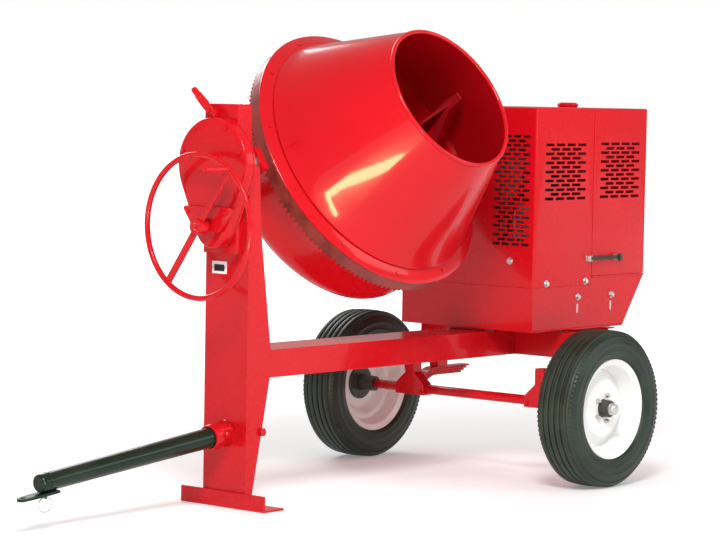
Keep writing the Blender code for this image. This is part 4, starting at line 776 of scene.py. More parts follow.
# %% [markdown]
# ## Road wheels
#
# Each wheel is a bias-ply tyre on a dished cream rim, with a greasy cast hub and five nuts. The
# sidewall is a smooth curve with two thin mould lines. The tread has round ribs, and the outer
# ribs break up into blocks on the shoulder. The blocks repeat round the tyre, so the ring tree
# copies one. Letters are left out: the mould lines are the only marks on the rubber.

# %% Wheel sizes
TYRE_RADIUS, TYRE_WIDTH, RIM_SEAT, RIM_LIP, HUB_BORE = 0.3075, 0.172, 0.176, 0.196, 0.0131
TRACK_HALF = 1.217 / 2
half = TYRE_WIDTH / 2
side_out = half - 0.016
bead = side_out - 0.013


def wheel_place(name):
    centre = joints["wheel_" + name + "_roll"]["pos_m"]
    return facing(centre, (0, math.copysign(1.0, centre[1]), 0))


# %% Tyre
groove = 0.0070
outside = [(RIM_LIP + 0.0006, -bead - 0.004), (RIM_LIP + 0.006, -half * 0.90)]
outside += [(RIM_LIP + 0.016, -half * 0.955), (0.226, -half * 0.985), (0.2285, -half * 0.985 - 0.0016)]
outside += [(0.2305, -half * 0.988), (0.246, -half), (0.2555, -half), (0.2575, -half - 0.0014)]
outside += [(0.2595, -half * 0.998), (0.272, -half * 0.972), (0.283, -half * 0.925), (0.291, -half * 0.865)]
outside += [(0.298, -half * 0.79)]
ribs = []
for middle, width in ((-0.0525, 0.020), (-0.027, 0.019), (0.0, 0.021), (0.027, 0.019), (0.0525, 0.020)):
    crown = TYRE_RADIUS - 0.9 * middle * middle
    ribs += [(crown - groove, middle - width / 2 - 0.0012), (crown - 0.0012, middle - width / 2)]
    ribs += [(crown, middle - width / 2 + 0.0014), (crown, middle + width / 2 - 0.0014)]
    ribs += [(crown - 0.0012, middle + width / 2), (crown - groove, middle + width / 2 + 0.0012)]
mirrored = [(r, -z) for r, z in reversed(outside)]
inside = [(RIM_SEAT + 0.0004, bead), (RIM_SEAT + 0.0004, bead - 0.012), (0.250, half * 0.84)]
inside += [(0.286, half * 0.55), (0.286, -half * 0.55), (0.250, -half * 0.84)]
inside += [(RIM_SEAT + 0.0004, 0.012 - bead), (RIM_SEAT + 0.0004, -bead)]
tyre = outside + ribs + mirrored + [(RIM_LIP + 0.0004, bead)] + inside + [(RIM_LIP + 0.0004, -bead)]
BLOCKS, BLOCK_LENGTH = 96, 0.0215
block_outline = [(-0.0070, 0.0), (0.0030, 0.0), (0.0062, BLOCK_LENGTH), (-0.0050, BLOCK_LENGTH)]
for name in ("near", "far"):
    place = wheel_place(name)
    spun("tyre_carcass_" + name, "tyre_" + name, tyre_rubber, tyre, place, 144, 50)
    for side, label in ((-1, "inner"), (1, "outer")):
        lug = bmesh.new()
        corners = []
        for x, reach in block_outline:
            up = BLOCK_LENGTH - reach
            corners.append((0.2860 + up * 0.72, x, side * (half * 0.945 - up * 1.02)))
            corners.append((0.2775 + up * 0.62, x, side * (half * 0.86 - up * 0.9)))
        verts = [lug.verts.new(corner) for corner in corners]
        for face in ((0, 2, 4, 6), (7, 5, 3, 1), (0, 1, 3, 2), (2, 3, 5, 4), (4, 5, 7, 6), (6, 7, 1, 0)):
            lug.faces.new([verts[k] for k in face])
        ring_of("tyre_blocks_" + label + "_" + name, "wheel_" + name, lug, BLOCKS, place, tyre_rubber, 20)
print("tyre", round(2 * TYRE_RADIUS, 3), "m across,", TYRE_WIDTH, "m wide,", BLOCKS, "blocks a side")

# %% [markdown]
# ## Rims, hubs and nuts
#
# The rim is a rolled well welded to a dished disc, sprayed cream. The disc is part of the same
# lathe profile. Its nuts are plated, so the ring tree copies a nut with a turned end and its stud.

# %% Rims, hubs and nuts
disc = 0.0205
rim = [(0.0362, disc), (0.098, disc), (0.106, disc - 0.0016), (0.1125, disc - 0.0065), (0.129, -0.0080)]
rim += [(0.134, -0.0112), (0.140, -0.0120), (RIM_SEAT - 0.024, -0.012), (RIM_SEAT - 0.004, 0.010 - side_out)]
rim += [(RIM_LIP - 0.0045, 0.002 - side_out), (RIM_LIP - 0.0020, -side_out), (RIM_LIP, 0.0020 - side_out)]
rim += [(RIM_LIP - 0.0004, 0.0060 - side_out), (RIM_SEAT, 0.012 - side_out), (RIM_SEAT - 0.016, -0.020)]
rim += [(RIM_SEAT - 0.018, 0), (RIM_SEAT - 0.016, 0.020), (RIM_SEAT, side_out - 0.012)]
rim += [(RIM_LIP - 0.0004, side_out - 0.006), (RIM_LIP, side_out - 0.0020), (RIM_LIP - 0.0020, side_out)]
rim += [(RIM_LIP - 0.0045, side_out - 0.002), (RIM_SEAT - 0.004, side_out - 0.014)]
rim += [(RIM_SEAT - 0.022, -0.004), (RIM_SEAT - 0.026, -0.0065), (0.141, -0.0070), (0.136, -0.0060)]
rim += [(0.131, -0.0030), (0.1155, 0.0185), (0.109, disc + 0.0035), (0.098, disc + 0.004)]
rim += [(0.0362, disc + 0.004)]
hub = [(HUB_BORE, -0.070), (0.028, -0.070), (0.030, -0.068), (0.033, -0.030), (0.0335, 0.010), (0.036, 0.012)]
hub += [(0.068, 0.012), (0.070, 0.014), (0.070, 0.0200), (0.040, 0.0200), (0.0345, 0.0200), (0.0345, 0.028)]
hub += [(0.0335, 0.031), (0.0335, 0.054), (0.0325, 0.058), (0.0300, 0.060), (0.0245, 0.0602)]
hub += [(HUB_BORE, 0.0602)]
cap = [(0.0, 0.0606), (0.0240, 0.0606), (0.0240, 0.0660), (0.0215, 0.0668), (0.0215, 0.0790)]
cap += [(0.0200, 0.0830), (0.0165, 0.0862), (0.0100, 0.0878), (0.0, 0.0880)]
for name in ("near", "far"):
    place = wheel_place(name)
    body = "wheel_" + name
    spun("rim_spun_" + name, "rim_" + name, cream_enamel, rim, place, 144)
    spun("hub_casting_" + name, "hub_" + name, hub_iron, hub, place, 72)
    spun("hub_grease_cap_" + name, "hub_" + name, zinc, cap, place, 72)
    shift = Matrix.Translation((0.0530, 0, disc + 0.0042))
    nut = lathe([(0, 0), (0.0092, 0), (0.0092, 0.0090), (0.0075, 0.0120), (0, 0.0120)], shift, 6)
    ring_of("wheel_nuts_" + name, body, nut, 5, place, zinc)
    shift = Matrix.Translation((0.0530, 0, disc + 0.0160))
    screw = lathe([(0, 0), (0.0056, 0), (0.0056, 0.0050), (0.0044, 0.0066), (0, 0.0070)], shift, 16)
    ring_of("wheel_studs_" + name, body, screw, 5, place, zinc)
    disc_seam = [place @ Vector((0.1485 * math.cos(t), 0.1485 * math.sin(t), -0.0060))
                 for t in (2 * math.pi * i / 72 for i in range(73))]
    weld("rim_disc_weld_" + name, body, [disc_seam], cream_enamel, 0.0050)
print("five nuts on each wheel")

# %% [markdown]
# ## Axle, seats and leaf springs
#
# A round bar joins the wheels. It sits in two gusseted seats, and each seat hangs from a pack of
# four leaves clamped under an outrigger. Each leaf is its own strip with rounded edges and a small
# gap, so the pack reads as a stack.

# %% Axle and seats
low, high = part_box("axle_bar")
axle_place = facing(((low[0] + high[0]) / 2, 0, (low[2] + high[2]) / 2), Y)
end, inner, bar = high[1], TRACK_HALF - 0.075, 0.019
profile = [(0, -end), (0.0110, -end), (0.0125, 0.0015 - end), (0.0125, -inner), (bar - 0.002, -inner)]
profile += [(bar, 0.003 - inner), (bar, inner - 0.003), (bar - 0.002, inner), (0.0125, inner)]
profile += [(0.0125, end - 0.0015), (0.0110, end), (0, end)]
spun("axle_bar_turned", "axle_bar", red_enamel, profile, axle_place, 64)
for side, name in ((-1, "near"), (1, "far")):
    dressed("axle_seat_" + name, red_enamel, 0.0025)
    low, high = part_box("axle_seat_" + name)
    middle = (low[1] + high[1]) / 2
    marks = []
    for x, direction in ((low[0], -1), (high[0], 1)):
        for offset in (-0.058, 0.058):
            marks.append((Vector((x, middle + offset, TYRE_RADIUS - 0.010)), (direction, 0, 0)))
    bolts("axle_seat_bolts_" + name, "axle", marks, 0.015, red_enamel)
print("axle", round(2 * end, 3), "m long")

# %% Leaves
SPRING_FRONT, SPRING_REAR, SPRING_HIGH, SPRING_LOW, LEAF, STEP = 1.4504, 1.765, 0.388, 0.345, 0.0085, 0.018


def spring_top(x):
    share = min(1.0, max(0.0, (x - SPRING_FRONT) / (1.546 - SPRING_FRONT)))
    return SPRING_LOW + (SPRING_HIGH - SPRING_LOW) * math.sin(share * math.pi / 2)


for side, name in ((-1, "near"), (1, "far")):
    low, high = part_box("leaf_spring_" + name)
    for leaf in range(4):
        rear = SPRING_REAR - STEP * leaf
        along = [SPRING_FRONT + (rear - SPRING_FRONT) * i / 48 for i in range(49)]
        over = [(x, spring_top(x) - LEAF * leaf - 0.0003) for x in along]
        under = [(x, z - LEAF + 0.0008) for x, z in over]
        outline = over + list(reversed(under))
        level = Matrix(((1, 0, 0, 0), (0, 0, -1, 0), (0, 1, 0, 0), (0, 0, 0, 1)))
        strip = plate(outline, -high[1] + 0.0002, -low[1] - 0.0002, level)
        made = piece(f"spring_leaf_{leaf + 1}_{name}", strip, None, red_enamel)
        soften(made, 0.0012, 2, 60)
        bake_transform(made)
        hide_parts("leaf_spring_" + name)
print("eight leaves")

# %% [markdown]
# ## Frame
#
# The post, beam, outriggers and foot are folded and welded plate. Their CAD outlines are exact, so
# copies get rounded edges. Where two plates meet, a weld bead runs along the corner.

# %% Post, beam, outriggers and foot
for node in ("front_post", "main_beam", "outrigger_near", "outrigger_far", "rear_cross_member"):
    dressed(node, red_enamel, 0.0016, 2)
dressed("foot_channel", red_enamel, 0.0022)
post_low, post_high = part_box("front_post")
beam_low, beam_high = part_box("main_beam")
foot_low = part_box("foot_channel")[0]


def line(a, b, steps=2):
    a, b = Vector(a), Vector(b)
    return [a.lerp(b, i / steps) for i in range(steps + 1)]


plate_top = foot_low[2] + 0.008
routes = [line((post_low[0], post_low[1], plate_top + 0.002), (post_low[0], post_high[1], plate_top + 0.002))]
weld("foot_weld", "frame", routes, red_enamel)
back = post_high[0] - 0.006
routes = []
for y in (beam_low[1], beam_high[1]):
    routes.append(line((back + 0.0004, y, beam_low[2] + 0.006), (back + 0.0034, y, beam_high[2] - 0.006)))
routes.append(line((back + 0.0034, beam_low[1], beam_high[2]), (back + 0.0034, beam_high[1], beam_high[2])))
weld("beam_weld", "frame", routes, red_enamel)
for side, name in ((-1, "near"), (1, "far")):
    low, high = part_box("outrigger_" + name)
    y = side * (beam_high[1] + 0.0010)
    routes = [line((low[0], y, beam_low[2] + 0.002), (low[0], y, beam_high[2] - 0.002))]
    routes.append(line((low[0], y, beam_high[2] - 0.0005), (high[0], y, beam_high[2] - 0.0005)))
    weld("outrigger_weld_" + name, "frame", routes, red_enamel)
print("post", round(post_high[2] - post_low[2], 3), "m tall")

# %% [markdown]
# ## Tow bar
#
# The tow bar is a green-black steel tube that tapers forwards. A red sleeve and a cross pin hold it
# in the post, a blob of weld closes its front end, and a flat tongue with a pin hole sits under it.
# A wire ring hangs from the tongue. The bar is turned from a profile whose end bulges where the
# weld is.

# %% Tow bar, sleeve, tongue and ring
TOW_SLOPE, TOW_HEIGHT = math.radians(6.2), 0.274
tow_axis = Vector((-math.cos(TOW_SLOPE), 0, -math.sin(TOW_SLOPE)))


def on_tow(x, side=Y):
    return facing((x, 0, TOW_HEIGHT + x * math.tan(TOW_SLOPE)), tow_axis, side)


REAR_X, FRONT_X, WIDE, NARROW = 0.067, -0.955, 0.038, 0.0325
length = (REAR_X - FRONT_X) / math.cos(TOW_SLOPE)
profile = [(WIDE - 0.005, 0), (WIDE - 0.001, 0), (WIDE, 0.001)]
profile += [(WIDE + (NARROW - WIDE) * i / 12, (length - 0.050) * i / 12) for i in range(1, 13)]
profile += [(NARROW + 0.0008, length - 0.046), (NARROW + 0.0016, length - 0.040)]
profile += [(NARROW + 0.0006, length - 0.034)]
profile += [(NARROW, length - 0.030), (NARROW, length - 0.010), (NARROW - 0.0015, length - 0.004)]
profile += [(NARROW - 0.006, length), (0, length), (0, length - 0.005), (NARROW - 0.005, length - 0.008)]
spun("tow_bar_tube", "tow_bar", drawbar_enamel, profile, on_tow(REAR_X))
inner, outer = WIDE + 0.002, WIDE + 0.0085
profile = [(inner, -0.012), (outer, -0.012), (outer, 0.081), (outer - 0.0015, 0.0845), (outer - 0.003, 0.085),
           (inner, 0.085)]
post_front = post_low[0]
spun("tow_sleeve", "tow_socket", red_enamel, profile, on_tow(post_front))
spot = on_tow(post_front - 0.040).translation
marks = [(spot + Vector((0, -math.cos(0.15), math.sin(0.15))) * outer, (0, -0.989, 0.148))]
bolts("tow_set_screw", "frame", marks, 0.024, red_enamel)
collar = [on_tow(post_front - 0.001) @ Vector((0.0475 * math.cos(t), 0.0475 * math.sin(t), 0))
          for t in (2 * math.pi * i / 48 for i in range(49))]
weld("tow_sleeve_weld", "frame", [collar], red_enamel, 0.0050)
dressed("tow_tongue", drawbar_enamel, 0.0015)
dressed("tow_pin", red_enamel, 0.0012)
hinge = Vector(joints["safety_ring_swing"]["pos_m"])
RING_RADIUS = 0.026
centre = hinge - Vector((0, 0, RING_RADIUS))
route = [centre + RING_RADIUS * Vector((1.18 * math.sin(t), 0, math.cos(t)))
         for t in (2 * math.pi * i / 72 for i in range(72))]
skin = piece("safety_ring_wire", tube(route, 0.0021, 14, True), body_of_node["safety_ring"], bright_steel)
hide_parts("safety_ring")
print("tow bar", round(length, 3), "m long")

# %% [markdown]
# ## Head, tilt housing and latch
#
# The narrow box on top of the post carries the front trunnion. In front of it a teardrop housing
# covers the tilt gear, and a raised cover guards its pinion. The housing's outline is two circles
# and their tangents, drawn here with fine steps and a rounded front edge, because that edge is the
# brightest line on the head. A bent lever with a round grip drops a pawl into the gear.

# %% Tilt housing
tilt_centre = Vector(joints["drum_tilt"]["pos_m"])
tilt_gap = tilt_centre.z - wheel_centre.z
housing_low, housing_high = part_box("gear_housing")
across_x = Matrix(((0, 0, 1, 0), (1, 0, 0, 0), (0, 1, 0, 0), (0, 0, 0, 1)))
HOUSING_TOP, HOUSING_FOOT = 0.171, 0.080


def teardrop(extra=0.0, steps=96):
    """Big circle over the tilt gear and small one round the hand wheel's pinion, as (y, z)."""
    big, small = HOUSING_TOP + extra, HOUSING_FOOT + extra
    lean = math.degrees(math.asin((big - small) / tilt_gap))
    over = arc((0, tilt_centre.z), big, -lean, 180 + lean, steps)
    return over + arc((0, wheel_centre.z), small, 180 + lean, 360 - lean, steps // 3)


def teardrop_shell(levels):
    """Rings of the teardrop at (x, extra), joined into one closed wall."""
    bm = bmesh.new()
    rings = [[bm.verts.new((x, y, z)) for y, z in teardrop(extra)] for x, extra in levels]
    count = len(rings[0])
    for a, b in zip(rings, rings[1:] + rings[:1]):
        for k in range(count):
            bm.faces.new((a[k], a[(k + 1) % count], b[(k + 1) % count], b[k]))
    return bm


front, back = housing_low[0], housing_high[0]
levels = [(back, 0.0), (front + 0.007, 0.0), (front + 0.0045, -0.0005), (front + 0.002, -0.0020),
          (front + 0.0005, -0.0045), (front, -0.0070), (front, -0.034), (front + 0.003, -0.034),
          (front + 0.003, -0.0080), (front + 0.0045, -0.0045), (front + 0.008, -0.003), (back, -0.003)]
skin = piece("tilt_housing_wall", teardrop_shell(levels), "frame", red_enamel)
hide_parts("gear_housing")
face_holes = [circle((0, wheel_centre.z), 0.014, 32)]
face = plate(teardrop(-0.0335), front + 0.0001, front + 0.0029, across_x, face_holes)
skin = piece("tilt_housing_face", face, "frame", red_enamel)
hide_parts("gear_housing")
band = [(back - 0.0085, 0.0), (back - 0.008, 0.0022), (back - 0.0015, 0.0022), (back - 0.001, 0.0)]
piece("tilt_housing_flange", teardrop_shell(band + [(back - 0.001, -0.001), (back - 0.0085, -0.001)]),
      "frame", red_enamel)
marks = []
for turn in (18, 62, 118, 162):
    t = math.radians(turn)
    marks.append((Vector((front, 0.150 * math.cos(t), tilt_centre.z + 0.150 * math.sin(t))), (-1, 0, 0)))
bolts("tilt_housing_bolts", "frame", marks, 0.014, red_enamel)
cover_low, cover_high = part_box("pinion_cover")
dressed("pinion_cover", red_enamel, 0.0035, 4)
marks = [(Vector((cover_low[0], y, z)), (-1, 0, 0))
         for y, z in ((-0.094, cover_high[2] - 0.020), (0.094, cover_high[2] - 0.020))]
bolts("pinion_cover_bolts", "frame", marks, 0.014, red_enamel)
dressed("head_box", red_enamel, 0.0050, 4)
head_low, head_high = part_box("head_box")
routes = [line((post_low[0] - 0.0003, y, head_low[2] + 0.01), (post_low[0] - 0.0003, y, post_high[2] - 0.01))
          for y in (head_low[1] - 0.0008, head_high[1] + 0.0008)]
weld("head_box_weld", "frame", routes, red_enamel)
print("housing", round(2 * HOUSING_TOP, 3), "m across, with", 6, "bolts")

# %% Latch lever with its grip, bracket and pin
pivot_place = Vector(joints["latch_turn"]["pos_m"])
px, py, pz = pivot_place
tip = tilt_centre.z + HOUSING_TOP - 0.004
outline = [(py - 0.028, tip), (py - 0.020, tip), (py - 0.0150, pz - 0.0125)]
outline += arc((py, pz), 0.0130, 250, 318, 6)
outline += [(py + 0.034, pz + 0.010), (py + 0.074, pz + 0.048), (py + 0.056, pz + 0.068),
            (py + 0.014, pz + 0.034)]
outline += arc((py, pz), 0.0135, 96, 160, 6) + [(py - 0.030, pz - 0.004)]
x0, x1 = px - 0.010, px + 0.002
pin_hole = circle((py, pz), 0.0068, 24)
lever = piece("latch_arm", plate(outline, x0, x1, across_x, [pin_hole]), "latch", red_enamel)
soften(lever, 0.0015, 3)
grip_place = facing((px - 0.004, py + 0.066, pz + 0.059), (0, 0.72, 0.69))
grip = [(0, -0.030), (0.0070, -0.0285), (0.0105, -0.025), (0.0120, -0.019), (0.0115, -0.010), (0.0120, 0.006)]
grip += [(0.0120, 0.019), (0.0105, 0.0255), (0.0070, 0.0290), (0, 0.030)]
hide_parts("latch_lever")
spun("latch_grip_knob", "latch_lever", red_enamel, grip, grip_place, 48)
dressed("latch_bracket", red_enamel, 0.0015)
bolts("latch_pin_nut", "latch", [(Vector((x0 + 0.0002, py, pz)), (-1, 0, 0))], 0.016, red_enamel)
print("latch pivot at", [round(v, 3) for v in pivot_place])

# %% [markdown]
# ## Hand wheel
#
# A bent steel tube makes the rim, one flat bar runs right across it, and a crank handle stands on
# the rim. The hub is turned, with a set screw. A weld bead joins the bar to the rim at both ends.

# %% Hand wheel
WHEEL_RADIUS, WHEEL_TUBE, SPOKE = 0.269, 0.0105, math.radians(54.5)
reach = WHEEL_RADIUS - WHEEL_TUBE
spoke = Vector((0, -math.cos(SPOKE), math.sin(SPOKE)))
route = [wheel_centre + reach * Vector((0, math.cos(t), math.sin(t)))
         for t in (2 * math.pi * i / 144 for i in range(144))]
skin = piece("hand_wheel_rim", tube(route, WHEEL_TUBE, 28, True), "hand_wheel", red_enamel)
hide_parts("hand_wheel")
bar_place = facing(wheel_centre, X, spoke)
bar = [(-reach, -0.014), (reach, -0.014), (reach, 0.014), (-reach, 0.014)]
skin = piece("hand_wheel_bar", plate(bar, -0.004, 0.004, bar_place), "hand_wheel", red_enamel)
soften(skin, 0.0018, 3)
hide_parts("hand_wheel")
hub_place = facing(wheel_centre, -X, Y)
hub = [(0.0128, -0.032), (0.026, -0.032), (0.028, -0.030), (0.028, 0.013), (0.0265, 0.016), (0.0128, 0.016)]
spun("hand_wheel_hub", "hand_wheel", red_enamel, hub, hub_place, 64)
on_hub = Matrix.Translation((0, 0, 0.0162))
nut = lathe([(0, 0.0), (0.011, 0.0), (0.011, 0.008), (0.0095, 0.010), (0, 0.010)], on_hub, 6)
bmesh.ops.transform(nut, matrix=hub_place, verts=nut.verts)
piece("hand_wheel_nut", nut, "hand_wheel", red_enamel, 30)
crank_place = facing(wheel_centre + reach * spoke, -X, Y)
crank = [(0, 0.0), (0.0090, 0.0), (0.0090, 0.012), (0.0128, 0.0125), (0.0128, 0.016), (0.0100, 0.018)]
crank += [(0.0100, 0.112), (0.0095, 0.118), (0.0070, 0.1245), (0.0035, 0.1268), (0, 0.127)]
spun("crank_handle", "hand_wheel", red_enamel, crank, crank_place, 48)
routes = []
for end in (-1, 1):
    for side in (-1, 1):
        root = wheel_centre + spoke * end * (reach - 0.008) + Vector((side * 0.0045, 0, 0))
        sideways = bar_place.to_3x3() @ Vector((0, 0.012, 0))
        routes.append(line(root - sideways, root + sideways))
weld("hand_wheel_welds", "hand_wheel", routes, red_enamel, 0.0035)
dressed("wheel_shaft", turned_steel, 0.0)
print("hand wheel", round(2 * WHEEL_RADIUS, 3), "m across")

# %% [markdown]
# ## Engine cabinet
#
# The cabinet is folded sheet in three parts: a fixed front bay, a rear hood that hinges up, and a
# base tray with an undercut rear. Its cooling slots are the finest pattern on the machine. They
# stand in staggered rows of four and three. The grid tree makes one block of slot cutters for each
# patch, with every second row shifted by half a step and its last one left out. A Boolean then
# takes all of them out of the sheet at once, so the slots are real holes with dark depth.

# %% Cabinet sizes
hood_low, hood_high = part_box("hood_front")
door_low, door_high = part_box("hood_door")
tray_low, tray_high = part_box("base_tray")
SHEET = 0.003
FOLD = 0.007


def folded_box(low, high, open_x):
    """A sheet box with rounded folds, open below and on the side that open_x points to."""
    solid = piece("fold", block(low, high), None, red_enamel)
    step = solid.modifiers.new("fold", "BEVEL")
    step.width = FOLD
    step.segments = 5
    step.limit_method = "WEIGHT"
    weights = solid.data.attributes.new("bevel_weight_edge", "FLOAT", "EDGE")
    x_open = high[0] if open_x > 0 else low[0]
    for edge in solid.data.edges:
        ends = [solid.data.vertices[v].co for v in edge.vertices]
        on_bottom = all(abs(end.z - low[2]) < 1e-6 for end in ends)
        on_open = all(abs(end.x - x_open) < 1e-6 for end in ends)
        weights.data[edge.index].value = 0.0 if on_bottom or on_open else 1.0
    settle(solid)
    inner_low = [low[0] + (SHEET if open_x > 0 else -0.02), low[1] + SHEET, low[2] - 0.02]
    inner_high = [high[0] + (0.02 if open_x > 0 else -SHEET), high[1] - SHEET, high[2] - SHEET]
    hollow = piece("hollow", block(inner_low, inner_high), None, red_enamel)
    step = hollow.modifiers.new("fold", "BEVEL")
    step.width = FOLD - SHEET
    step.segments = 3
    step.limit_method = "ANGLE"
    settle(hollow)
    return carve(solid, hollow)


def carve(solid, *cutters):
    for cutter in cutters:
        step = solid.modifiers.new("carved", "BOOLEAN")
        step.operation = "DIFFERENCE"
        step.solver = "EXACT"
        step.object = cutter
    settle(solid)
    for cutter in cutters:
        bpy.data.objects.remove(cutter)
    return solid


def sheet_piece(made, name, body):
    mesh = made.data
    bpy.data.objects.remove(made)
    return piece(name, mesh, body, sheet_enamel, 30)


SLOT_DROP, SIDE_STEP, END_STEP = 0.0178, 0.0705, 0.0475
SLOT_SHARE, SLOT_HALF_HIGH, SLOT_DEPTH = 0.395, 0.0056, 0.012
SIDE_ROWS, END_ROWS = 13, 25


def slots(name, first, across_step, rows, place):
    """Rows of 4 and 3 slot cutters. first is the top left slot's middle in the plane of place."""
    half_w, half_h, depth = SLOT_SHARE * across_step, SLOT_HALF_HIGH, SLOT_DEPTH
    one = loose(name + "_one", block((-half_w, -half_h, -depth), (half_w, half_h, depth)))
    values = {"Shape": one, "Across": 4, "Down": rows, "Step across": across_step,
              "Step down": SLOT_DROP, "Stagger": 0.5, "Paint": red_enamel}
    mesh = grown(grid_tree, values)
    mesh.transform(place @ Matrix.Translation((first[0], first[1], 0)))
    return piece(name, mesh, None, red_enamel)


def side_place(side):
    """Local +X along world +X, local +Y up, on the cabinet's near or far side."""
    y = side * hood_high[1]
    return Matrix(((1, 0, 0, 0), (0, 0, -1, y), (0, 1, 0, 0), (0, 0, 0, 1)))


# %% Front bay with its slots
bay = folded_box(hood_low, hood_high, 1)
end_place = Matrix(((0, 0, -1, hood_low[0]), (-1, 0, 0, 0), (0, 1, 0, 0), (0, 0, 0, 1)))
end_slots = slots("end_slots", (0.1475, 1.358), END_STEP, END_ROWS, end_place)
near_slots = slots("near_slots", (1.438, 1.326), SIDE_STEP, SIDE_ROWS, side_place(-1))
far_slots = slots("far_slots", (1.438, 1.326), SIDE_STEP, SIDE_ROWS, side_place(1))
drive_hole = piece("drive_hole", lathe([(0, -0.02), (0.052, -0.02), (0.052, 0.02), (0, 0.02)],
                   facing((hood_low[0], 0, tilt_centre.z), X), 64), None, red_enamel)
carve(bay, end_slots, near_slots, far_slots, drive_hole)
bay = sheet_piece(bay, "cabinet_front_bay", "frame")
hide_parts("hood_front")
print(len(bay.data.polygons), "faces round the front bay's slots")

# %% Rear hood
door = folded_box((door_low[0], hood_low[1], door_low[2]), (door_high[0], hood_high[1], door_high[2]), -1)
near_slots = slots("near_slots", (1.805, 1.329), SIDE_STEP, SIDE_ROWS, side_place(-1))
far_slots = slots("far_slots", (1.805, 1.329), SIDE_STEP, SIDE_ROWS, side_place(1))
carve(door, near_slots, far_slots)
door = sheet_piece(door, "cabinet_rear_hood", "hood")
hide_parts("hood_door")
print(len(door.data.polygons), "faces round the rear hood's slots")

# %% [markdown]
# ## Base tray and cabinet seams
#
# The tray under the cabinet has a sloping rear floor, and a rolled lip stands a little proud along
# its bottom on both sides. Flat strips cover the seams. Each is a thin bar with rounded edges.

# %% Tray, lips and seam strips
dressed("base_tray", sheet_enamel, 0.0030, 3)
side_y = hood_high[1]
strips = []


def strip(name, body, low, high, paint, width=0.0012):
    made = piece(name, block(low, high), body, paint)
    soften(made, width, 2)
    strips.append(name)
    return made


strip("end_wall_seam", "frame", (hood_low[0] - 0.0022, 0.066, 0.770),
      (hood_low[0] + 0.001, 0.082, 1.160), sheet_enamel)
for side, name in ((-1, "near"), (1, "far")):
    wall = sorted((side * (side_y + 0.0035), side * (side_y - 0.001)))
    strip("tray_top_ledge_" + name, "frame", (hood_high[0] + 0.004, wall[0], tray_high[2] - 0.006),
          (tray_high[0] - 0.004, wall[1], tray_high[2] + 0.0005), sheet_enamel)
    wall = sorted((side * (side_y + 0.0016), side * (side_y - 0.001)))
    strip("hood_edge_strip_" + name, "hood", (door_low[0] + 0.0002, wall[0], door_low[2] + 0.002),
          (door_low[0] + 0.013, wall[1], door_high[2] - 0.010), sheet_enamel, 0.0007)
LIP_END, LIP_RADIUS = 1.940, 0.0042
for number, y in ((1, -side_y * 1.002), (2, side_y * 1.002)):
    lip_z = tray_low[2] + 0.004
    points = line((tray_low[0] + 0.010, y, lip_z), (LIP_END, y, lip_z), 6)
    piece(f"tray_rolled_edge_{number}", tube(points, LIP_RADIUS, 14), "frame", sheet_enamel)
print(len(strips), "strips")

# %% Cabinet bolts
CABINET_BOLTS = ((1.429, 0.776), (1.688, 0.777), (1.640, 0.715), (1.868, 0.715))
TRAY_PLUGS = ((1.638, 0.670), (1.863, 0.672))
marks = []
for side in (-1, 1):
    for x, z in CABINET_BOLTS:
        marks.append((Vector((x, side * side_y, z)), (0, side, 0)))
marks.append((Vector((hood_low[0], -0.2185, 0.864)), (-1, 0, 0)))
marks.append((Vector((hood_low[0], 0.2185, 0.864)), (-1, 0, 0)))
bolts("cabinet_bolts", "frame", marks, 0.0225)
for side, name in ((-1, "near"), (1, "far")):
    for number, (x, z) in enumerate(TRAY_PLUGS):
        wall = sorted((side * (side_y + 0.0022), side * (side_y - 0.001)))
        plug = block((x - 0.0045, wall[0], z - 0.019), (x + 0.0045, wall[1], z + 0.019))
        soften(piece(f"tray_slot_plug_{number + 1}_{name}", plug, "frame", zinc), 0.0015, 2)
marks = [(Vector((door_high[0], y, z)), (1, 0, 0)) for y in (-0.24, 0.24) for z in (0.86, 1.40)]
bolts("hood_rear_bolts", "hood", marks, 0.0165, sheet_enamel)
print(bolt_count, "bolts so far")

# %% [markdown]
# ## Draw latches and cap
#
# A rubber strap latch holds the hood on each side. A plated bracket turns on the front bay, the
# strap crosses the seam, and a T-shaped grip hooks over a keeper on the hood. A small round cap
# sits on the hood's roof.

# %% Draw latches and their keepers
for side, name in ((-1, "near"), (1, "far")):
    body = body_of_node["draw_latch_" + name]
    low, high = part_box("draw_latch_" + name)
    middle = (low[2] + high[2]) / 2
    wall = side_y

    def slab(label, x0, x1, out0, out1, half_z, paint, width, owner=body):
        ends = sorted((side * (wall + out0), side * (wall + out1)))
        made = piece(f"{label}_{name}", block((x0, ends[0], middle - half_z), (x1, ends[1], middle + half_z)),
                     owner, paint)
        return soften(made, width, 3)

    base = slab("latch_base", low[0], low[0] + 0.038, 0.0006, 0.0040, 0.012, zinc, 0.0012)
    ear = slab("latch_ears", low[0] + 0.004, low[0] + 0.034, 0.0038, 0.0154, 0.0118, zinc, 0.0030)
    strap = slab("latch_strap", low[0] + 0.020, high[0] - 0.012, 0.0125, 0.0180, 0.0075, latch_rubber, 0.0020)
    grip = slab("latch_t_grip", high[0] - 0.017, high[0], 0.0127, 0.0290, 0.0150, latch_rubber, 0.0050)
    for made in (base, ear, strap, grip):
        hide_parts("draw_latch_" + name)
    slab("latch_keeper", high[0] - 0.036, high[0] - 0.008, 0.0005, 0.0118, 0.0100, zinc, 0.0020, "hood")
    rib = loose("strap_rib", block((-0.0022, -0.0008, -0.0062), (0.0022, 0.0008, 0.0062)))
    mesh = row_of(rib, 9, 0.014, latch_rubber, (low[0] + 0.050, side * (wall + 0.0182), middle))
    piece("latch_strap_ribs_" + name, mesh, body, None, 30)
    rivet = (Vector((low[0] + 0.010, side * (wall + 0.0154), middle)), (0, side, 0))
    bolts("latch_rivet_" + name, body, [rivet], 0.010)
cap_low, cap_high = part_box("hood_cap")
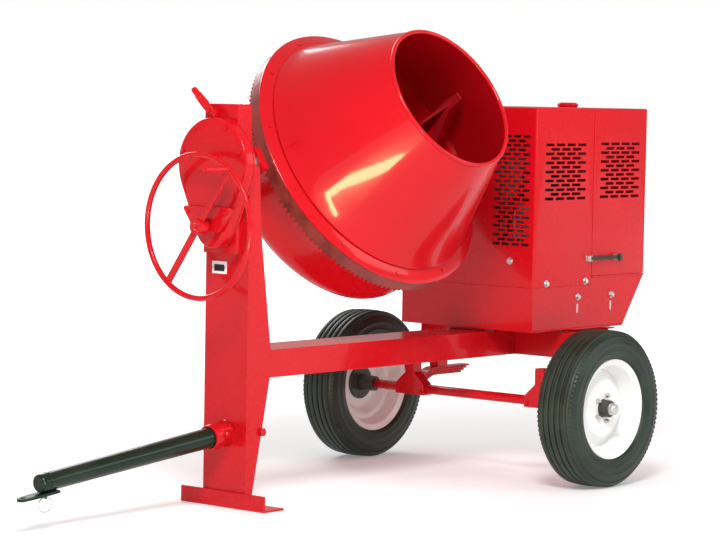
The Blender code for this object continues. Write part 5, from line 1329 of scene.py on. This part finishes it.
cap_place = facing(((cap_low[0] + cap_high[0]) / 2, (cap_low[1] + cap_high[1]) / 2, cap_low[2]), Z)
cap = [(0, 0.0002), (0.0390, 0.0002), (0.0400, 0.0015), (0.0430, 0.0100), (0.0428, 0.0125), (0.0405, 0.0150)]
cap += [(0.0385, 0.0155), (0.0370, 0.0180), (0.0330, 0.0198), (0.0150, 0.0200), (0, 0.0200)]
# The cap wears the bowl's lightened red too, a brighter copy of the body red.
spun("hood_cap_turned", "hood_cap", lightened_red_enamel, cap, cap_place, 72)
print("two strap latches")

# %% [markdown]
# ## Drive inside the cabinet
#
# Through the slots, and when the hood is up, the belt drive and the engine show. The pulleys are
# turned castings, and the shafts keep their CAD shapes with a turned steel finish. The engine is a
# small air-cooled block, with stacked cooling fins from the grid tree, a round cowl with radial
# slots from the ring tree, a rounded tank and a muffler with pressed holes.

# %% Pulleys, shafts and gears
PULLEY_X = (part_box("drum_pulley")[0][0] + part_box("drum_pulley")[1][0]) / 2
PULLEY_HALF = 0.011


def pulley(name, node, centre_z, radius, bore, hub_radius):
    place = facing((PULLEY_X, 0, centre_z), X)
    low_x, high_x = -PULLEY_HALF, PULLEY_HALF
    rim_in = radius - 0.020 if radius > 0.1 else hub_radius
    profile = [(bore, low_x - 0.004), (hub_radius, low_x - 0.004)]
    if radius > 0.1:
        profile += [(hub_radius, -0.004), (rim_in, -0.004), (rim_in, low_x)]
    profile += [(radius - 0.001, low_x), (radius, low_x + 0.001), (radius - 0.013, -0.0035)]
    profile += [(radius - 0.013, 0.0035), (radius, high_x - 0.001), (radius - 0.001, high_x)]
    if radius > 0.1:
        profile += [(rim_in, high_x), (rim_in, 0.004), (hub_radius, 0.004)]
    profile += [(hub_radius, high_x + 0.004), (bore, high_x + 0.004)]
    spun(name, node, grey_iron, profile, place)


pulley("drum_pulley_turned", "drum_pulley", tilt_centre.z, 0.185, 0.0204, 0.040)
engine_centre = Vector(joints["engine_spin"]["pos_m"])
pulley("engine_pulley_turned", "engine_pulley", engine_centre.z, 0.045, 0.0129, 0.022)
dressed("v_belt", belt_rubber, 0.0015, 2)
dressed("front_trunnion", turned_steel, 0.0)
dressed("rear_trunnion", turned_steel, 0.0)
dressed("drive_shaft", turned_steel, 0.0)
dressed("pinion_shaft", gear_iron, 0.0)
dressed("tilt_gear", gear_iron, 0.0006, 1)
repaint(bronze, "front_bush")
dressed("rear_bearing", red_enamel, 0.002)
dressed("engine_stand", red_enamel, 0.003)
print("drive painted")

# %% Engine
dressed("engine_block", cast_aluminium, 0.0045, 3)
fin = loose("cooling_fin", block((-0.0015, -0.066, 0), (0.0015, 0.066, 0.090)))
top = engine_centre.z + 0.090
mesh = row_of(fin, 12, 0.0115, cast_aluminium, (1.567, -0.010, top))
piece("cylinder_fins", mesh, "frame", None, 30)
cowl_low, cowl_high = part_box("engine_cowl")
cowl_place = facing((cowl_low[0], 0, engine_centre.z + 0.010), X)
deep = cowl_high[0] - cowl_low[0]
cowl = [(0, 0.0004), (0.118, 0.0004), (0.118, deep - 0.016), (0.1145, deep - 0.006), (0.106, deep - 0.001)]
cowl += [(0.098, deep - 0.001), (0.094, deep - 0.006), (0.050, deep - 0.006), (0.046, deep), (0, deep)]
spun("engine_cowl_pressed", "engine_cowl", black_enamel, cowl, cowl_place)
vane = block((0.054, -0.0022, deep - 0.0065), (0.092, 0.0022, deep - 0.0018))
ring_of("cowl_vanes", "frame", vane, 28, cowl_place, black_enamel)
for node, paint, width in (("fuel_tank", black_enamel, 0.022), ("muffler", zinc, 0.016)):
    dressed(node, paint, width, 6)
tank_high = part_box("fuel_tank")[1]
filler = facing((tank_high[0] - 0.060, 0.040, tank_high[2] - 0.001), Z)
lid = [(0, 0), (0.0240, 0), (0.0240, 0.014), (0.0215, 0.018), (0, 0.019)]
piece("fuel_filler_cap", lathe(lid, filler, 48), "frame", black_enamel)
muffler_low, muffler_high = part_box("muffler")
hole = loose("muffler_dimple", lathe([(0, -0.0005), (0.0035, -0.0005), (0.0030, 0.0012), (0, 0.0016)],
             facing((0, 0, 0), Y), 10))
for row in range(4):
    first = (muffler_low[0] + 0.028, muffler_high[1], muffler_low[2] + 0.022 + row * 0.018)
    mesh = row_of(hole, 9, 0.013, grey_iron, first)
    piece(f"muffler_dimples_{row + 1}", mesh, "frame", None, 30)
dressed("label_plate", cream_enamel, 0.0006, 2)
label_low, label_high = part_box("label_plate")
marks = [(Vector((label_low[0], y, (label_low[2] + label_high[2]) / 2)), (-1, 0, 0))
         for y in (label_low[1] + 0.006, label_high[1] - 0.006)]
bolts("label_rivets", "frame", marks, 0.0065)
insert = [(label_low[0] - 0.0008, label_low[1] + 0.011, label_low[2] + 0.010),
          (label_low[0] + 0.0005, label_high[1] - 0.011, label_high[2] - 0.012)]
soften(piece("label_blank_panel", block(*insert), "frame", black_enamel), 0.0004, 2)
print("engine parts done")

# %% [markdown]
# ## Floor, light and camera
#
# A pale floor under soft studio light keeps the attention on the machine. Far out, the floor glows
# and fades to white. The sky is white to the camera but dimmer to everything else, so that the
# paint keeps its depth. The key light hangs high in front of the foot, and a fill light softens
# the shadows. The warm streak on the cone comes from a thin strip close to the ground, which only
# reflections can see. It lies where the cone's side mirrors it to the camera.

# %% Floor
made, graph, shader, place = surface("pale_floor")
cloud = noise(graph, place, 0.7, 3.0).between(0.3, 0.7)
tone = colour_mix(graph, cloud, (0.93, 0.93, 0.93, 1), (0.95, 0.95, 0.95, 1))
graph.feed(shader.inputs["Base Color"], tone)
reach = graph.node("ShaderNodeVectorMath", {"operation": "LENGTH"}, {0: place}, 1).between(2.0, 9.0)
glow = colour_mix(graph, reach, (0.20, 0.20, 0.20, 1), (1.0, 1.0, 1.0, 1))
graph.feed(shader.inputs["Emission Color"], glow)
shader.inputs["Emission Strength"].default_value = 1.0
graph.feed(shader.inputs["Roughness"], 0.62 + cloud * 0.06)
slab = bmesh.new()
bmesh.ops.create_grid(slab, x_segments=4, y_segments=4, size=40)
floor = piece("studio_floor", slab, None, made)
for vertex in floor.data.vertices:
    vertex.co.z = -0.0006

# %% Lights and sky
SKY_LIGHT = 0.45
world = bpy.data.worlds.new("studio_sky")
world.use_nodes = True
graph = Graph(world.node_tree)
sky = world.node_tree.nodes["Background"]
seen = graph.node("ShaderNodeLightPath", output="Is Camera Ray")
sky.inputs["Color"].default_value = (1, 1, 1, 1)
graph.feed(sky.inputs["Strength"], seen * (1.0 - SKY_LIGHT) + SKY_LIGHT)
bpy.context.scene.world = world
bpy.context.scene.view_settings.view_transform = "Standard"


def softbox(name, place, target, size, power, along=None):
    light = bpy.data.lights.new(name, "AREA")
    light.shape = "RECTANGLE"
    light.size, light.size_y = size
    light.energy = power
    lamp = bpy.data.objects.new(name, light)
    bpy.context.scene.collection.objects.link(lamp)
    away = Vector(place) - Vector(target)
    lamp.matrix_world = facing(place, away, along) if along else facing(place, away)
    return lamp


middle = (0.8, 0, 0.9)
softbox("key", (-3.0, -3.4, 4.8), middle, (1.6, 1.6), 300)
softbox("fill", (3.4, -5.0, 2.6), middle, (3.0, 2.0), 60)
softbox("back", (2.5, 4.5, 3.4), middle, (2.5, 2.0), 90)
STRIP_FOOT, STRIP_HEAD = Vector((-1.23, -1.76, 0.14)), Vector((-1.86, -1.18, 0.64))
STRIP_WIDTH, CONE_SIDE = 0.16, (0.335, -0.304, 1.212)
along = STRIP_HEAD - STRIP_FOOT
warm = softbox("streak", (STRIP_FOOT + STRIP_HEAD) / 2, CONE_SIDE, (along.length, STRIP_WIDTH), 34, along)
warm.data.color = (1.0, 0.78, 0.36)
warm.visible_diffuse = False
warm.visible_camera = False

# %% Camera
LENS, SENSOR = 137.33, 36.0
azimuth, elevation, roll = math.radians(-48.956), math.radians(3.879), math.radians(0.996)
target = Vector((0.8051, 0.0946, 0.7935))
backward = Vector((math.sin(azimuth) * math.cos(elevation), -math.cos(azimuth) * math.cos(elevation),
                   math.sin(elevation)))
level = (-backward).cross(Z).normalized()
upright = level.cross(-backward)
rolled = level * math.cos(roll) + upright * math.sin(roll)
upright = upright * math.cos(roll) - level * math.sin(roll)
camera = bpy.data.objects.new("camera", bpy.data.cameras.new("camera"))
camera.data.lens = LENS
camera.data.sensor_width = SENSOR
camera.data.clip_end = 200
place = target + backward * 10.705
camera.matrix_world = Matrix.Translation(place) @ Matrix((rolled, upright, backward)).transposed().to_4x4()
bpy.context.scene.collection.objects.link(camera)
bpy.context.scene.camera = camera
print("camera", round((place - target).length, 2), "m away")
